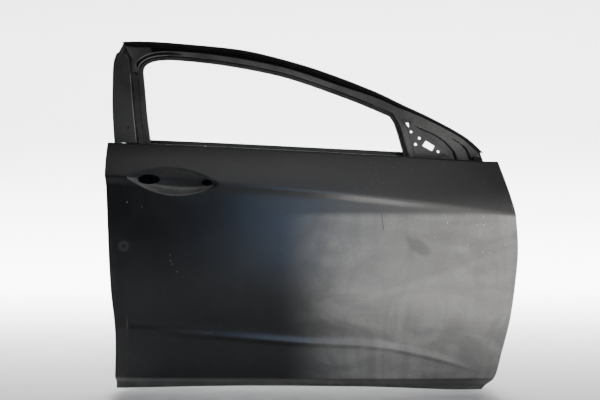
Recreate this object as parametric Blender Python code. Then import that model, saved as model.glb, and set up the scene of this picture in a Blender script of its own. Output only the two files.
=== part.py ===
"""Right-hand front door shell of a saloon car: primed sheet metal with no glass, hinges or trim.

Metres, +X to the front of the car, +Y to the cabin, +Z up.
The origin is the middle of the upper hinge pad, on the front shut face of the inner panel.
Most pieces are pressed sheets.
Each is drawn as one face of its sheet, in rows of points, and Solidify gives it its thickness.
"""
import math

import bmesh
import bpy
from mathutils import Vector

# Sheet thicknesses and the clearance that welded pieces keep
SKIN_SHEET = 0.0008
INNER_SHEET = 0.0008
FRAME_SHEET = 0.0008
CHANNEL_SHEET = 0.0007
BRACKET_SHEET = 0.0012
HINGE_PLATE = 0.0022
TAPPING_PLATE = 0.006
GAP = 0.0003
HEM_GAP = 0.0005

# Outline of the skin seen from the side, as (x, z) along each line
BELT = ((-1.139, 0.169), (-0.865, 0.158), (-0.537, 0.142), (-0.221, 0.126), (0.009, 0.1125))
SHOULDER = ((-1.134, 0.070), (-0.807, 0.0455), (-0.457, 0.018), (-0.229, -0.007), (0.045, -0.042))
RIDGE = ((-1.107, -0.370), (-0.858, -0.388), (-0.566, -0.411), (-0.350, -0.423), (-0.180, -0.457), (-0.019, -0.509))
FOOT = ((-1.107, -0.512), (-0.745, -0.511), (-0.226, -0.518), (-0.013, -0.520))
BOTTOM = ((-1.110, -0.5505), (-0.747, -0.5415), (-0.339, -0.5440), (-0.040, -0.5545))
# Rear and front edges of the skin, as (z, x)
REAR_EDGE = ((-0.549, -1.110), (-0.393, -1.107), (-0.254, -1.118), (-0.046, -1.127), (0.070, -1.134), (0.169, -1.139))
FRONT_EDGE = (
    (-0.554, -0.0415), (-0.520, -0.0125), (-0.439, 0.010), (-0.347, 0.032), (-0.254, 0.046),
    (-0.145, 0.056), (-0.046, 0.050), (0.0, 0.0405), (0.069, 0.0225), (0.1125, 0.0110),
)

# Section of the skin: how far each line lies inboard of the outermost plane
OUTERMOST = -0.080
BELT_LEAN = 0.036
BELT_BULGE = 0.004
RIDGE_LEAN = 0.0095
FOOT_LEAN = 0.014
TURN_UNDER = 0.016
TURN_HEIGHT = 0.021
# From the shoulder crease (0) to the ridge (1): hollow below the crease, flat flank, lip above the ridge.
# The plain flank is what both forms fade into towards the front edge.
FLANK = ((0.0, 0.0), (0.05, 0.0052), (0.13, 0.0046), (0.3, 0.0006), (0.6, 0.001), (0.85, 0.0085), (0.955, 0.0122))
PLAIN_FLANK = ((0.0, 0.0), (0.3, 0.0006), (0.6, 0.001), (0.85, 0.0056))
CREASE_FADE = ((-0.42, 1.0), (-0.14, 0.35), (0.05, 0.2))
RIDGE_FADE = ((-1.120, 0.3), (-1.000, 1.0), (-0.180, 1.0), (-0.060, 0.0))
RIDGE_UNDERCUT = 0.003
RIDGE_UNDERCUT_HEIGHT = 0.010
PLAN_MIDDLE = -0.545
PLAN_RADIUS = 15.0

# Handle recess, a lens between two points on the shoulder crease
RECESS_SETBACK = 0.065
RECESS_LENGTH = 0.262
RECESS_REAR = SHOULDER[0][0] + RECESS_SETBACK
RECESS_FRONT = RECESS_REAR + RECESS_LENGTH
RECESS_UP = 0.036
RECESS_DOWN = 0.040
RECESS_DEPTH = 0.022
# Its holes as (place along it, rise over the crease, length over the recess's, height over length)
HANDLE_HOLE = (0.225, -0.0010, 0.237, 0.452)
LATCH_ROD_HOLE = (0.874, 0.0022, 0.122, 0.594)

# Rows of the skin as shares: belt to crease, across the recess, and crease to ridge
UPPER_ROWS = (0.0, 0.25, 0.5, 0.75, 1.0)
BOWL_ROWS = (0.0, 0.1, 0.3, 0.5, 0.7, 0.9, 1.0)
FLANK_ROWS = (0.0, 0.05, 0.12, 0.21, 0.34, 0.50, 0.66, 0.80, 0.90, 0.955, 1.0)
RECESS_COLUMNS = 10
FLANK_COLUMNS = 14

# Hem round the skin, and the flange at its belt edge
HEM_RETURN = 0.0100
FLANGE = 0.0140
HEM_RADIUS = (2 * SKIN_SHEET + INNER_SHEET + 2 * HEM_GAP) / 2
BELT_FLANGE = 0.011
BELT_HOOK = 0.010

# Shut faces and cabin-side wall of the inner panel
CABIN_WALL = 0.045
LEDGE_Y = 0.026
LEDGE = 0.014
WALL_START = -0.045
HINGE_FACE = 0.0
EDGE_TO_WALL = 0.0185
WALL_SLOPE = 0.012
SILL_FRONT = -0.048
LATCH_SETBACK = 0.0266
LATCH_FACE = SHOULDER[0][0] + LATCH_SETBACK
LATCH_FACE_RAKE = -0.0556
SILL_RISE = 0.022
INNER_BELT_RISE = 0.021
DRAFT = 0.002
SERVICE_PANEL = (-1.03, -0.075, -0.440, -0.005)
PANEL_STEP = 0.008
PANEL_SLOPE = 0.005

# Window frame: outer face, its lean and its curve
FRAME_SET = 0.062
FRAME_FOOT = 0.130
FRAME_LEAN = 0.28
FRAME_CURVE = 0.36
GLASS_DROP_CURVE = 0.50
STEEP = 1.2

# Window edge and outer edge of the frame, as matching (x, z) lines
PILLAR_WINDOW = ((-1.0262, 0.1792), (-1.0461, 0.2665), (-1.0626, 0.3482), (-1.0765, 0.4100))
PILLAR_OUTER = ((-1.1365, 0.1858), (-1.1533, 0.2782), (-1.1657, 0.3580), (-1.1782, 0.4500))
CORNER_WINDOW = ((-1.0765, 0.4100), (-1.0775, 0.4250), (-1.0710, 0.4395), (-1.0560, 0.4495), (-1.0335, 0.4556))
CORNER_OUTER = ((-1.1782, 0.4500), (-1.1740, 0.4930), (-1.1652, 0.5262), (-1.1100, 0.5262), (-1.0600, 0.5240))
HEADER_WINDOW = (
    (-1.0335, 0.4556), (-0.9896, 0.4567), (-0.8506, 0.4405), (-0.7132, 0.4140),
    (-0.6038, 0.3848), (-0.4161, 0.3119), (-0.2970, 0.2578),
)
HEADER_OUTER = (
    (-1.0600, 0.5240), (-1.0017, 0.5189), (-0.7678, 0.4894), (-0.6365, 0.4546),
    (-0.5084, 0.4103), (-0.3382, 0.3367), (-0.2550, 0.2920),
)
SAIL_WINDOW = ((-0.2970, 0.2578), (-0.2841, 0.2337), (-0.2637, 0.1450))
SAIL_OUTER = ((-0.2550, 0.2920), (-0.1747, 0.2506), (-0.0725, 0.1885), (-0.0250, 0.1420))
# Where the header's outside stamping starts, below the rear corner
CORNER_START = (((-1.0765, 0.4100), (-1.1140, 0.4110)), ((-1.0775, 0.4250), (-1.1255, 0.4660)))
PILLAR_SPANS = 4
HEADER_SPANS = 14
SAIL_SPANS = 6

# Depths across the frame, inboard of its outer face
LIP_DEPTH = 0.015
FLANGE_DEPTH = 0.0125
BOX_DEPTH = 0.030
GROOVE_DEPTH = 0.010
CHANNEL_FLOOR = 0.0132
SEAT = (FRAME_SHEET + GAP) * STEEP

# Widths across the frame, from the window edge or from the outer edge
LIP_WIDTH = 0.008
PILLAR_LIP_WIDTH = 0.010
CHANNEL_WIDTH = 0.019
PILLAR_CHANNEL_WIDTH = 0.040
CHANNEL_BACK = LIP_WIDTH + CHANNEL_WIDTH
INNER_FLANGE = 0.014
FLANGE_MARGIN = 0.002
CORNER_RELIEF = 0.0022
BAND_EDGE = 0.0155
RAIL_WIDTH = 0.018
RAIL_REACH = 0.0045
SAIL_RAIL_WIDTH = 0.0105

# Legs of the frame inside the door, as (window side, outer side) points in the side view
REAR_LEG = (((-1.020, 0.050), (-1.091, 0.050)), ((-1.020, 0.100), (-1.093, 0.100)), ((-1.025, 0.172), (-1.0985, 0.174)))
FRONT_LEG = (((-0.262, 0.135), (-0.042, 0.128)), ((-0.250, 0.075), (-0.037, 0.070)), ((-0.250, 0.030), (-0.037, 0.030)))
SAIL_FOOT_DROP = 0.026

# Glass channels inside the door, and the outside plate of the rear pillar
REAR_CHANNEL_TOP = 0.385
REAR_CHANNEL_FOOT = -0.255
REAR_CHANNEL_RAKE = -0.228
FRONT_CHANNEL_FOOT = -0.205
FRONT_CHANNEL_RAKE = -0.26
RIB = 0.0018
PILLAR_PLATE_INNER = ((-1.0637, 0.1730), (-1.0935, 0.3113), (-1.1132, 0.4014), (-1.1330, 0.4720))
PILLAR_PLATE_OUTER = ((-1.1340, 0.1730), (-1.1533, 0.2782), (-1.1657, 0.3580), (-1.1790, 0.4500), (-1.1740, 0.4850))
# Small holes through the pillar's plate, its glass channel and the frame's corner, as (x, z, radius)
PLATE_HOLE = (-1.0958, 0.2192, 0.0025)
CHANNEL_HOLE = (-1.0565, 0.2260, 0.0025)
CORNER_HOLE = (-1.0967, 0.4033, 0.0030)

# Mirror plate on the sail: outline, and holes as (x, z, radius)
MIRROR_PLATE_AT = (-0.190, 0.175)
MIRROR_PLATE = (
    (-0.2310, 0.1300), (-0.2460, 0.2185), (-0.2620, 0.2440), (-0.2290, 0.2440),
    (-0.2300, 0.2290), (-0.2000, 0.2080), (-0.1650, 0.1790), (-0.1230, 0.1300),
)
MIRROR_OPENING = (
    (-0.2275, 0.1345), (-0.2420, 0.2160), (-0.2560, 0.2395), (-0.2340, 0.2395),
    (-0.2345, 0.2265), (-0.2030, 0.2030), (-0.1690, 0.1745), (-0.1370, 0.1345),
)
MIRROR_BOLT_HOLES = ((-0.2125, 0.1858, 0.0044), (-0.2254, 0.1667, 0.0050), (-0.1593, 0.1446, 0.0044))
MIRROR_PLAIN_HOLES = ((-0.2365, 0.2055, 0.0035), (-0.1429, 0.1360, 0.0028))
MIRROR_NOTCH = ((-0.2540, 0.2374), (-0.2341, 0.2374), (-0.2430, 0.2201))
MIRROR_SLOT = ((-0.1940, 0.1783), (-0.1691, 0.1616), (-0.1781, 0.1464), (-0.2055, 0.1624))
NUT_RADIUS = 0.0066
NUT_BORE = 0.0044
NUT_HEIGHT = 0.006

# Hinges, check arm, latch and side-impact beam
HINGE_SPACING = 0.305
HINGE_BOLT_SPACING = 0.048
HINGE_BOLT_HOLE = 0.0065
CHECK_ARM_Z = -0.150
LATCH_Z = -0.105
BEAM_RADIUS = 0.015
BEAM_WALL = 0.002
BEAM_DEPTH = 0.026
BEAM_FRONT_Z = -0.220
BEAM_REAR_Z = -0.290
BEAM_END_GAP = 0.023
BEAM_FRONT_X = HINGE_FACE - BEAM_END_GAP
BEAM_REAR_X = LATCH_FACE + LATCH_FACE_RAKE * BEAM_REAR_Z + BEAM_END_GAP
BEAM_SPANS = 8
BEAM_SIDES = 12
SADDLE_LENGTH = 0.055
SADDLE_FLAT = 0.016
SADDLE_FLANGE = 0.028
PAD_PLACES = (-0.850, -0.550, -0.250)
PAD_LENGTH = 0.050
PAD_HEIGHT = 0.018

# Plates behind the shut faces: their reach across the door, and the openings they surround
SHUT_PLATE = (-0.036, 0.021)
HINGE_PLATE_HALF = 0.044
HINGE_PLATE_RETURN = 0.017
TAPPING_PLATE_SIZE = (0.036, 0.072)
PANEL_BOLT_HOLE = 0.0075
TAPPED_HOLE = 0.0045
CHECK_ARM_SLOT = (0.030, 0.022)
CHECK_PLATE_HALF = 0.035
LATCH_PLATE_HALF = 0.040
LATCH_OPENING = (0.034, 0.046)
LATCH_SCREWS = ((-0.0215, 0.032), (0.0215, 0.032), (0.0, -0.032))
LATCH_SCREW_HOLE = 0.0035

# Belt reinforcements, as (distance below the belt, depth) and (height over the belt, y)
OUTER_BELT_SECTION = (
    (0.004, 0.0014), (0.014, 0.0014), (0.018, 0.0130), (0.032, 0.0130),
    (0.036, 0.0060), (0.046, 0.0060), (0.050, 0.0130), (0.055, 0.0130),
)
INNER_BELT_ENDS = (-1.005, -0.275)
INNER_BELT_HEIGHTS = (0.018, 0.008, 0.004, -0.018, -0.022, -0.034)
INNER_BELT_HAT = 0.030
INNER_BELT_SPANS = 8

# Small brackets
BELT_BRACKET = (-0.060, -0.036)
BELT_BRACKET_RISE = 0.009
REAR_CHANNEL_BRACKET_Z = -0.235
FRONT_CHANNEL_BRACKET_Z = -0.190
CHANNEL_BRACKET_WIDTH = 0.020
CHANNEL_BRACKET_FOOT = 0.018
HANDLE_PLATE_ROWS = (0.3, 0.5, 0.7)
HANDLE_PLATE_ENDS = (2, 8)

# Speaker and service openings of the inner panel, as (x, z, length, height, corner radius)
REAR_SERVICE_HOLE = (-0.775, -0.165, 0.320, 0.250, 0.050)
FRONT_SERVICE_HOLE = (-0.405, -0.115, 0.270, 0.180, 0.045)
LOWER_SERVICE_HOLE = (-0.480, -0.335, 0.240, 0.120, 0.035)
SPEAKER_HOLE = (-0.185, -0.335, 0.080)

BLACK_PRIMER = (0.018, 0.018, 0.020, 1.0)
GREY_PRIMER = (0.060, 0.060, 0.063, 1.0)
MASTIC = (0.10, 0.10, 0.095, 1.0)
BARE_STEEL = (0.30, 0.30, 0.30, 1.0)
# Finishes as (colour, roughness, metallic)
PRIMED = (BLACK_PRIMER, 0.38, 0.0)
PRIMED_INSIDE = (GREY_PRIMER, 0.50, 0.0)
SOFT = (MASTIC, 0.85, 0.0)
PLATED = (BARE_STEEL, 0.35, 1.0)


def smooth_line(knots):
    """Return the smooth curve through (at, value) knots, as a function of at."""
    def value(at):
        last = len(knots) - 2
        span = 0
        while span < last and at > knots[span + 1][0]:
            span += 1
        start, end = knots[span], knots[span + 1]
        before = knots[max(span - 1, 0)]
        after = knots[min(span + 2, last + 1)]
        width = end[0] - start[0]
        part = min(max((at - start[0]) / width, 0.0), 1.0)
        slope_in = (end[1] - before[1]) / (end[0] - before[0]) * width
        slope_out = (after[1] - start[1]) / (after[0] - start[0]) * width
        return (
            (2 * part**3 - 3 * part**2 + 1) * start[1]
            + (part**3 - 2 * part**2 + part) * slope_in
            + (3 * part**2 - 2 * part**3) * end[1]
            + (part**3 - part**2) * slope_out
        )
    return value


def path_points(knots, spans):
    """Return spans + 1 evenly spaced (x, z) points along the smooth curve through the knots."""
    along = [0.0]
    for start, end in zip(knots, knots[1:]):
        along.append(along[-1] + math.dist(start, end))
    x_line = smooth_line([(s, knot[0]) for s, knot in zip(along, knots)])
    z_line = smooth_line([(s, knot[1]) for s, knot in zip(along, knots)])
    steps = [along[-1] * k / spans for k in range(spans + 1)]
    return [(x_line(s), z_line(s)) for s in steps]


belt_line = smooth_line(BELT)
shoulder_line = smooth_line(SHOULDER)
ridge_line = smooth_line(RIDGE)
foot_line = smooth_line(FOOT)
bottom_line = smooth_line(BOTTOM)
rear_edge = smooth_line(REAR_EDGE)
front_edge = smooth_line(FRONT_EDGE)
flank_line = smooth_line(FLANK + ((1.0, RIDGE_LEAN),))
plain_line = smooth_line(PLAIN_FLANK + ((1.0, RIDGE_LEAN),))
crease_fade = smooth_line(CREASE_FADE)
ridge_fade = smooth_line(RIDGE_FADE)


def mix(start, end, part):
    """Return the value or point that lies the given part of the way from start to end."""
    return start * (1 - part) + end * part


def plan_depth(x):
    """Return how far the door's long curve has turned inboard at x."""
    return (x - PLAN_MIDDLE) ** 2 / (2 * PLAN_RADIUS)


def skin_depth(x, z):
    """Return how far the skin's outer face lies inboard of the outermost plane."""
    shoulder = shoulder_line(x)
    ridge = ridge_line(x)
    foot = foot_line(x)
    if z >= shoulder:
        rise = (z - shoulder) / (belt_line(x) - shoulder)
        section = BELT_LEAN * rise - BELT_BULGE * 4 * rise * (1 - rise)
    elif z >= ridge:
        drop = (shoulder - z) / (shoulder - ridge)
        pressed = mix(crease_fade(x), ridge_fade(x), min(max((drop - 0.3) / 0.3, 0.0), 1.0))
        section = mix(plain_line(drop), flank_line(drop), pressed)
    elif z >= foot:
        below = (ridge - z) / (ridge - foot)
        undercut = RIDGE_UNDERCUT * min((ridge - z) / RIDGE_UNDERCUT_HEIGHT, 1.0) * (1 - below)
        section = mix(RIDGE_LEAN, FOOT_LEAN, below) + undercut * ridge_fade(x)
    else:
        section = FOOT_LEAN + TURN_UNDER * min((foot - z) / TURN_HEIGHT, 1.0)
    return section + plan_depth(x)


def skin_point(x, z, depth=0.0):
    """Return the point that lies depth inboard of the skin's outer face, square to it."""
    step = 0.002
    lean_x = (skin_depth(x + step, z) - skin_depth(x - step, z)) / (2 * step)
    lean_z = (skin_depth(x, z + step) - skin_depth(x, z - step)) / (2 * step)
    inboard = Vector((-lean_x, 1.0, -lean_z)).normalized()
    return Vector((x, OUTERMOST + skin_depth(x, z), z)) + inboard * depth


def frame_y(x, z, depth=0.0):
    """Return y at depth inboard of the window frame's outer face, which the glass follows down."""
    rise = z - FRAME_FOOT
    curve = FRAME_CURVE if rise > 0 else GLASS_DROP_CURVE
    return OUTERMOST + FRAME_SET + plan_depth(x) + FRAME_LEAN * rise + curve * rise**2 + depth


def frame_point(x, z, depth=0.0):
    """Return the point of the window frame at (x, z), with depth measured along Y."""
    return Vector((x, frame_y(x, z, depth), z))


def coating(name, colour, roughness, metallic):
    """Return a plain painted or bare surface."""
    material = bpy.data.materials.new(name)
    material.use_nodes = True
    shader = material.node_tree.nodes["Principled BSDF"]
    shader.inputs["Base Color"].default_value = colour
    shader.inputs["Roughness"].default_value = roughness
    shader.inputs["Metallic"].default_value = metallic
    return material


def new_object(name, mesh_data, finish):
    """Turn a bmesh into a named object in the scene."""
    mesh = bpy.data.meshes.new(name)
    mesh_data.to_mesh(mesh)
    mesh_data.free()
    mesh.materials.append(coating(name + "_surface", *finish))
    item = bpy.data.objects.new(name, mesh)
    bpy.context.scene.collection.objects.link(item)
    return item


def fill_rows(mesh_data, rows):
    """Join each row of points to the next with faces."""
    made = [[mesh_data.verts.new(point) for point in row] for row in rows]
    for upper, lower in zip(made, made[1:]):
        for k in range(len(upper) - 1):
            mesh_data.faces.new((upper[k], upper[k + 1], lower[k + 1], lower[k]))


def sheet(name, patches, thickness, finish, facing, step_faces=None):
    """Weld patches of rows into one sheet whose given face looks along facing, and thicken it behind."""
    mesh_data = bmesh.new()
    for rows in patches:
        fill_rows(mesh_data, rows)
    bmesh.ops.remove_doubles(mesh_data, verts=mesh_data.verts, dist=0.00005)
    bmesh.ops.recalc_face_normals(mesh_data, faces=mesh_data.faces)
    toward = Vector(facing)
    if sum(face.normal.dot(toward) * face.calc_area() for face in mesh_data.faces) < 0:
        bmesh.ops.reverse_faces(mesh_data, faces=mesh_data.faces)
    if step_faces:
        step_faces(mesh_data)
    item = new_object(name, mesh_data, finish)
    item.data.shade_smooth()
    item.data.set_sharp_from_angle(angle=math.radians(25))
    solid = item.modifiers.new("Thickness", "SOLIDIFY")
    solid.thickness = thickness
    solid.offset = -1
    solid.use_even_offset = True
    return item


def prism(name, outline, place, reach, finish=PRIMED_INSIDE):
    """Extrude a closed outline: place(u, v, w) gives the point at height w, for w in reach."""
    mesh_data = bmesh.new()
    rings = [[mesh_data.verts.new(place(u, v, w)) for u, v in outline] for w in reach]
    mesh_data.faces.new(rings[0])
    mesh_data.faces.new(list(reversed(rings[1])))
    for k in range(len(outline)):
        after = (k + 1) % len(outline)
        mesh_data.faces.new((rings[0][k], rings[1][k], rings[1][after], rings[0][after]))
    bmesh.ops.recalc_face_normals(mesh_data, faces=mesh_data.faces)
    return new_object(name, mesh_data, finish)


def circle(radius, sides, squash=1.0):
    """Return a round outline, or an oval one where squash is not 1."""
    turns = [math.tau * (k + 0.5) / sides for k in range(sides)]
    return [(radius * math.cos(turn), radius * squash * math.sin(turn)) for turn in turns]


def rounded_box(length, height, radius, corner_spans=3):
    """Return the outline of a rectangle with rounded corners."""
    outline = []
    for side, (sign_u, sign_v) in enumerate(((1, 1), (-1, 1), (-1, -1), (1, -1))):
        for k in range(corner_spans + 1):
            turn = math.radians(90) * (side + k / corner_spans)
            outline.append((
                sign_u * (length / 2 - radius) + radius * math.cos(turn),
                sign_v * (height / 2 - radius) + radius * math.sin(turn),
            ))
    return outline


def cut(item, name, outline, place, reach):
    """Cut a hole of the given outline through an item."""
    cutter = prism(name, outline, place, reach)
    cutter.hide_render = True
    cutter.display_type = "WIRE"
    hole = item.modifiers.new(name, "BOOLEAN")
    hole.operation = "DIFFERENCE"
    hole.object = cutter


def along_y(x, z):
    """Return a place for outlines in the side view, raised along Y."""
    return lambda u, v, w: Vector((x + u, w, z + v))


def along_x(y, z):
    """Return a place for outlines seen from the front, raised along X."""
    return lambda u, v, w: Vector((w, y + u, z + v))


def recess_lines(x):
    """Return the heights of the handle recess's lower and upper edge at x."""
    part = (x - RECESS_REAR) / (RECESS_FRONT - RECESS_REAR)
    arch = max(4 * part * (1 - part), 0.0)
    return shoulder_line(x) - RECESS_DOWN * arch, shoulder_line(x) + RECESS_UP * arch


def recess_point(x, part, depth=0.0):
    """Return a point in the handle recess, part of the way from its lower to its upper edge."""
    low, high = recess_lines(x)
    z = mix(low, high, part)
    along = (x - RECESS_REAR) / (RECESS_FRONT - RECESS_REAR)
    bowl = max(4 * along * (1 - along), 0.0) ** 0.5 * (1 - abs(2 * part - 1) ** 2.6)
    return skin_point(x, z) + Vector((0.0, RECESS_DEPTH * bowl + depth, 0.0))


def recess_hole(hole, margin=0.0):
    """Return the x, z and outline of a hole in the recess, made larger by margin."""
    part, rise, length, squash = hole
    x = mix(RECESS_REAR, RECESS_FRONT, part)
    return x, shoulder_line(x) + rise, circle(length * RECESS_LENGTH / 2 + margin, 14, squash)


def skin_columns():
    """Return the nominal x of each column of the skin's grid."""
    rear = SHOULDER[0][0]
    front = SHOULDER[-1][0]
    lens = [mix(RECESS_REAR, RECESS_FRONT, k / RECESS_COLUMNS) for k in range(RECESS_COLUMNS + 1)]
    flank = [mix(RECESS_FRONT, front, k / FLANK_COLUMNS) for k in range(1, FLANK_COLUMNS + 1)]
    return [rear, mix(rear, RECESS_REAR, 0.5)] + lens + flank


COLUMNS = skin_columns()


def column_heights(x):
    """Return the heights of the grid's rows at x: above the crease or recess, and below it."""
    low, high = recess_lines(x)
    ridge = ridge_line(x)
    foot = foot_line(x)
    upper = [mix(belt_line(x), high, part) for part in UPPER_ROWS]
    flank = [mix(low, ridge, part) for part in FLANK_ROWS]
    under = ridge - min(RIDGE_UNDERCUT_HEIGHT, (ridge - foot) / 3)
    foot_rows = [under, mix(under, foot, 0.5), foot]
    hem_rows = [foot - TURN_HEIGHT, bottom_line(x) + HEM_RADIUS]
    return upper, flank + foot_rows + hem_rows


def between_edges(x, z):
    """Slide a nominal x to the same share of the door's length at height z."""
    share = (x - COLUMNS[0]) / (COLUMNS[-1] - COLUMNS[0])
    return mix(rear_edge(z) + HEM_RADIUS, front_edge(z) - HEM_RADIUS, share)


def skin_rows():
    """Return the skin's rows of points above and below the crease."""
    upper, lower = [], []
    for x in COLUMNS:
        high, low = column_heights(x)
        in_recess = RECESS_REAR <= x <= RECESS_FRONT
        at = (lambda z: x) if in_recess else (lambda z: between_edges(x, z))
        upper.append([skin_point(at(z), z) for z in high])
        lower.append([skin_point(at(z), z) for z in low])
    return upper, lower


def hem_edge(upper, lower):
    """Return (point, outward, inboard) round the skin's rear, bottom and front edges.

    Outward runs on along the grid's own lines, so that the hem follows the creases past the edge.
    """
    rear = list(zip(upper[0] + lower[0][1:], upper[1] + lower[1][1:]))
    foot = [(column[-1], column[-2]) for column in lower]
    front = list(zip(upper[-1] + lower[-1][1:], upper[-2] + lower[-2][1:]))[::-1]
    edge = [(point, (point - inner).normalized()) for point, inner in rear[:-1] + foot + front[1:]]
    for corner in (len(rear) - 1, len(rear) + len(foot) - 2):
        point, outward = edge[corner]
        side = rear[-1] if corner < len(rear) else front[0]
        edge[corner] = (point, outward + (side[0] - side[1]).normalized())
    framed = []
    for k, (point, outward) in enumerate(edge):
        ahead = edge[min(k + 1, len(edge) - 1)][0] - point
        behind = point - edge[max(k - 1, 0)][0]
        inboard = (ahead.normalized() + behind.normalized()).cross(outward).normalized()
        if inboard.y < 0:
            inboard = -inboard
        framed.append((point, outward, inboard))
    return framed


def make_outer_skin():
    """Outer panel: pressed flank with the handle recess, belt flange, and a hem folded round its edges."""
    upper, lower = skin_rows()
    lens_start = COLUMNS.index(RECESS_REAR)
    lens = COLUMNS[lens_start:lens_start + RECESS_COLUMNS + 1]
    bowl = [[recess_point(x, part) for part in BOWL_ROWS] for x in lens]
    belt = [column[0] for column in upper[1:-1]]
    flange = [
        belt,
        [point + Vector((0, 0.0015, 0.0012)) for point in belt],
        [point + Vector((0, BELT_FLANGE - 0.001, 0.0012)) for point in belt],
        [point + Vector((0, BELT_FLANGE, -BELT_HOOK)) for point in belt],
    ]
    hem = []
    for turn in (0, 45, 90, 135, 180):
        swing = math.radians(turn)
        hem.append([
            point + outward * (HEM_RADIUS * math.sin(swing)) + inboard * (HEM_RADIUS * (1 - math.cos(swing)))
            for point, outward, inboard in hem_edge(upper, lower)
        ])
    hem.append([
        point - outward * HEM_RETURN + inboard * (2 * HEM_RADIUS)
        for point, outward, inboard in hem_edge(upper, lower)
    ])
    skin = sheet("outer_skin", [upper, lower, bowl, flange, hem], SKIN_SHEET, PRIMED, (0, -1, 0))
    for name, hole in (("handle_hole", HANDLE_HOLE), ("latch_rod_hole", LATCH_ROD_HOLE)):
        x, z, outline = recess_hole(hole)
        cut(skin, name, outline, along_y(x, z), (OUTERMOST, OUTERMOST + 0.06))
    return skin


def inner_walls():
    """Return the rings of the inner panel, from its hem flange to the cabin-side wall."""
    upper, lower = skin_rows()
    edge = hem_edge(upper, lower)
    side = len(upper[0]) + len(lower[0]) - 2
    rings = [[], [], [], [], [], []]
    flange_depth = SKIN_SHEET + HEM_GAP + INNER_SHEET
    for k, (point, outward, inboard) in enumerate(edge):
        rings[0].append(point + outward * (HEM_RADIUS - SKIN_SHEET - 2 * HEM_GAP) + inboard * flange_depth)
        flange_end = point - outward * (FLANGE - HEM_RADIUS) + inboard * flange_depth
        rings[1].append(flange_end)
        belt = belt_line(point.x)
        share = (belt - point.z) / (belt - bottom_line(point.x) - HEM_RADIUS)

        def height(rise):
            """Return this station's height where the wall over the sill stands rise above the hem."""
            return mix(belt, bottom_line(point.x) + SILL_RISE + rise, share)

        if k <= side:
            x, step = LATCH_FACE + LATCH_FACE_RAKE * height(0.0), 1
        elif k >= len(edge) - side - 1:
            x, step = min(HINGE_FACE, front_edge(height(0.0)) - EDGE_TO_WALL), -1
        else:
            x, step = mix(rings[2][side].x, SILL_FRONT, (k - side) / (len(edge) - 2 * side - 1)), 0
        rings[2].append(Vector((x, max(WALL_START, flange_end.y + WALL_SLOPE), height(0.0))))
        rings[3].append(Vector((x, LEDGE_Y, height(0.0))))
        rings[4].append(Vector((x + step * LEDGE, LEDGE_Y, height(LEDGE))))
        rings[5].append(Vector((x + step * (LEDGE + DRAFT), CABIN_WALL, height(LEDGE + DRAFT))))
    return rings, side


def wall_faces(mesh_data):
    """Return the flat faces of the cabin-side wall."""
    return [face for face in mesh_data.faces if all(vert.co.y > CABIN_WALL - 0.0001 for vert in face.verts)]


def step_service_panel(mesh_data):
    """Press the middle of the cabin-side wall outboard, where the service openings are."""
    rear, front, low, high = SERVICE_PANEL
    for place, normal in (((rear, 0, 0), (1, 0, 0)), ((front, 0, 0), (1, 0, 0)),
                          ((0, 0, low), (0, 0, 1)), ((0, 0, high), (0, 0, 1))):
        wall = wall_faces(mesh_data)
        edges = {edge for face in wall for edge in face.edges}
        verts = {vert for face in wall for vert in face.verts}
        bmesh.ops.bisect_plane(
            mesh_data, geom=[*verts, *edges, *wall], dist=0.0005, plane_co=place, plane_no=normal
        )
    chosen = []
    for face in wall_faces(mesh_data):
        middle = face.calc_center_median()
        if rear < middle.x < front and low < middle.z < high:
            chosen.append(face)
    bmesh.ops.inset_region(
        mesh_data, faces=chosen, thickness=PANEL_SLOPE, depth=-PANEL_STEP, use_even_offset=True, use_boundary=True
    )


def make_inner_panel():
    """Inner panel: hem flange, shut faces with a seal ledge, and a stepped cabin-side wall with openings."""
    rings, side = inner_walls()
    border = rings[5]
    rear = border[:side + 1]
    front = border[len(border) - side - 1:][::-1]
    sill = border[side:len(border) - side]
    rows = []
    for k in range(side):
        start, end = rear[k], front[k]
        shares = [(point.x - sill[0].x) / (sill[-1].x - sill[0].x) for point in sill]
        rows.append([mix(start, end, share) for share in shares])
    rows.append(sill)
    top = [Vector((point.x, CABIN_WALL, belt_line(point.x) + INNER_BELT_RISE)) for point in rows[0]]
    panel = sheet(
        "inner_panel", [rings, [top] + rows], INNER_SHEET, PRIMED, (0, 1, 0), step_service_panel
    )
    through = (CABIN_WALL - 0.03, CABIN_WALL + 0.02)
    for name, (x, z, length, height, radius) in (
        ("rear_service_hole", REAR_SERVICE_HOLE),
        ("front_service_hole", FRONT_SERVICE_HOLE),
        ("lower_service_hole", LOWER_SERVICE_HOLE),
    ):
        cut(panel, name, rounded_box(length, height, radius), along_y(x, z), through)
    x, z, radius = SPEAKER_HOLE
    cut(panel, "speaker_hole", circle(radius, 24), along_y(x, z), through)
    return panel


def frame_stations():
    """Return matching (window, outer) points round the frame, from the rear belt end to the front one."""
    pillar = zip(path_points(PILLAR_WINDOW, PILLAR_SPANS), path_points(PILLAR_OUTER, PILLAR_SPANS))
    corner = zip(CORNER_WINDOW[1:-1], CORNER_OUTER[1:-1])
    header = zip(path_points(HEADER_WINDOW, HEADER_SPANS), path_points(HEADER_OUTER, HEADER_SPANS))
    sail = zip(path_points(SAIL_WINDOW, SAIL_SPANS), path_points(SAIL_OUTER, SAIL_SPANS))
    return list(pillar) + list(corner) + list(header) + list(sail)[1:]


STATIONS = frame_stations()
OUTER_FRAME_START = PILLAR_SPANS + 2
HEADER_START = PILLAR_SPANS + len(CORNER_WINDOW) - 1
SAIL_START = HEADER_START + HEADER_SPANS


def square_share(line, k, run):
    """Return how much longer a distance is along run than square to the line at its k-th point."""
    start = line[max(k - 1, 0)]
    end = line[min(k + 1, len(line) - 1)]
    along = (Vector(end) - Vector(start)).normalized()
    return 1 / max(abs(run.x * along.y - run.y * along.x), 0.55)


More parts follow.
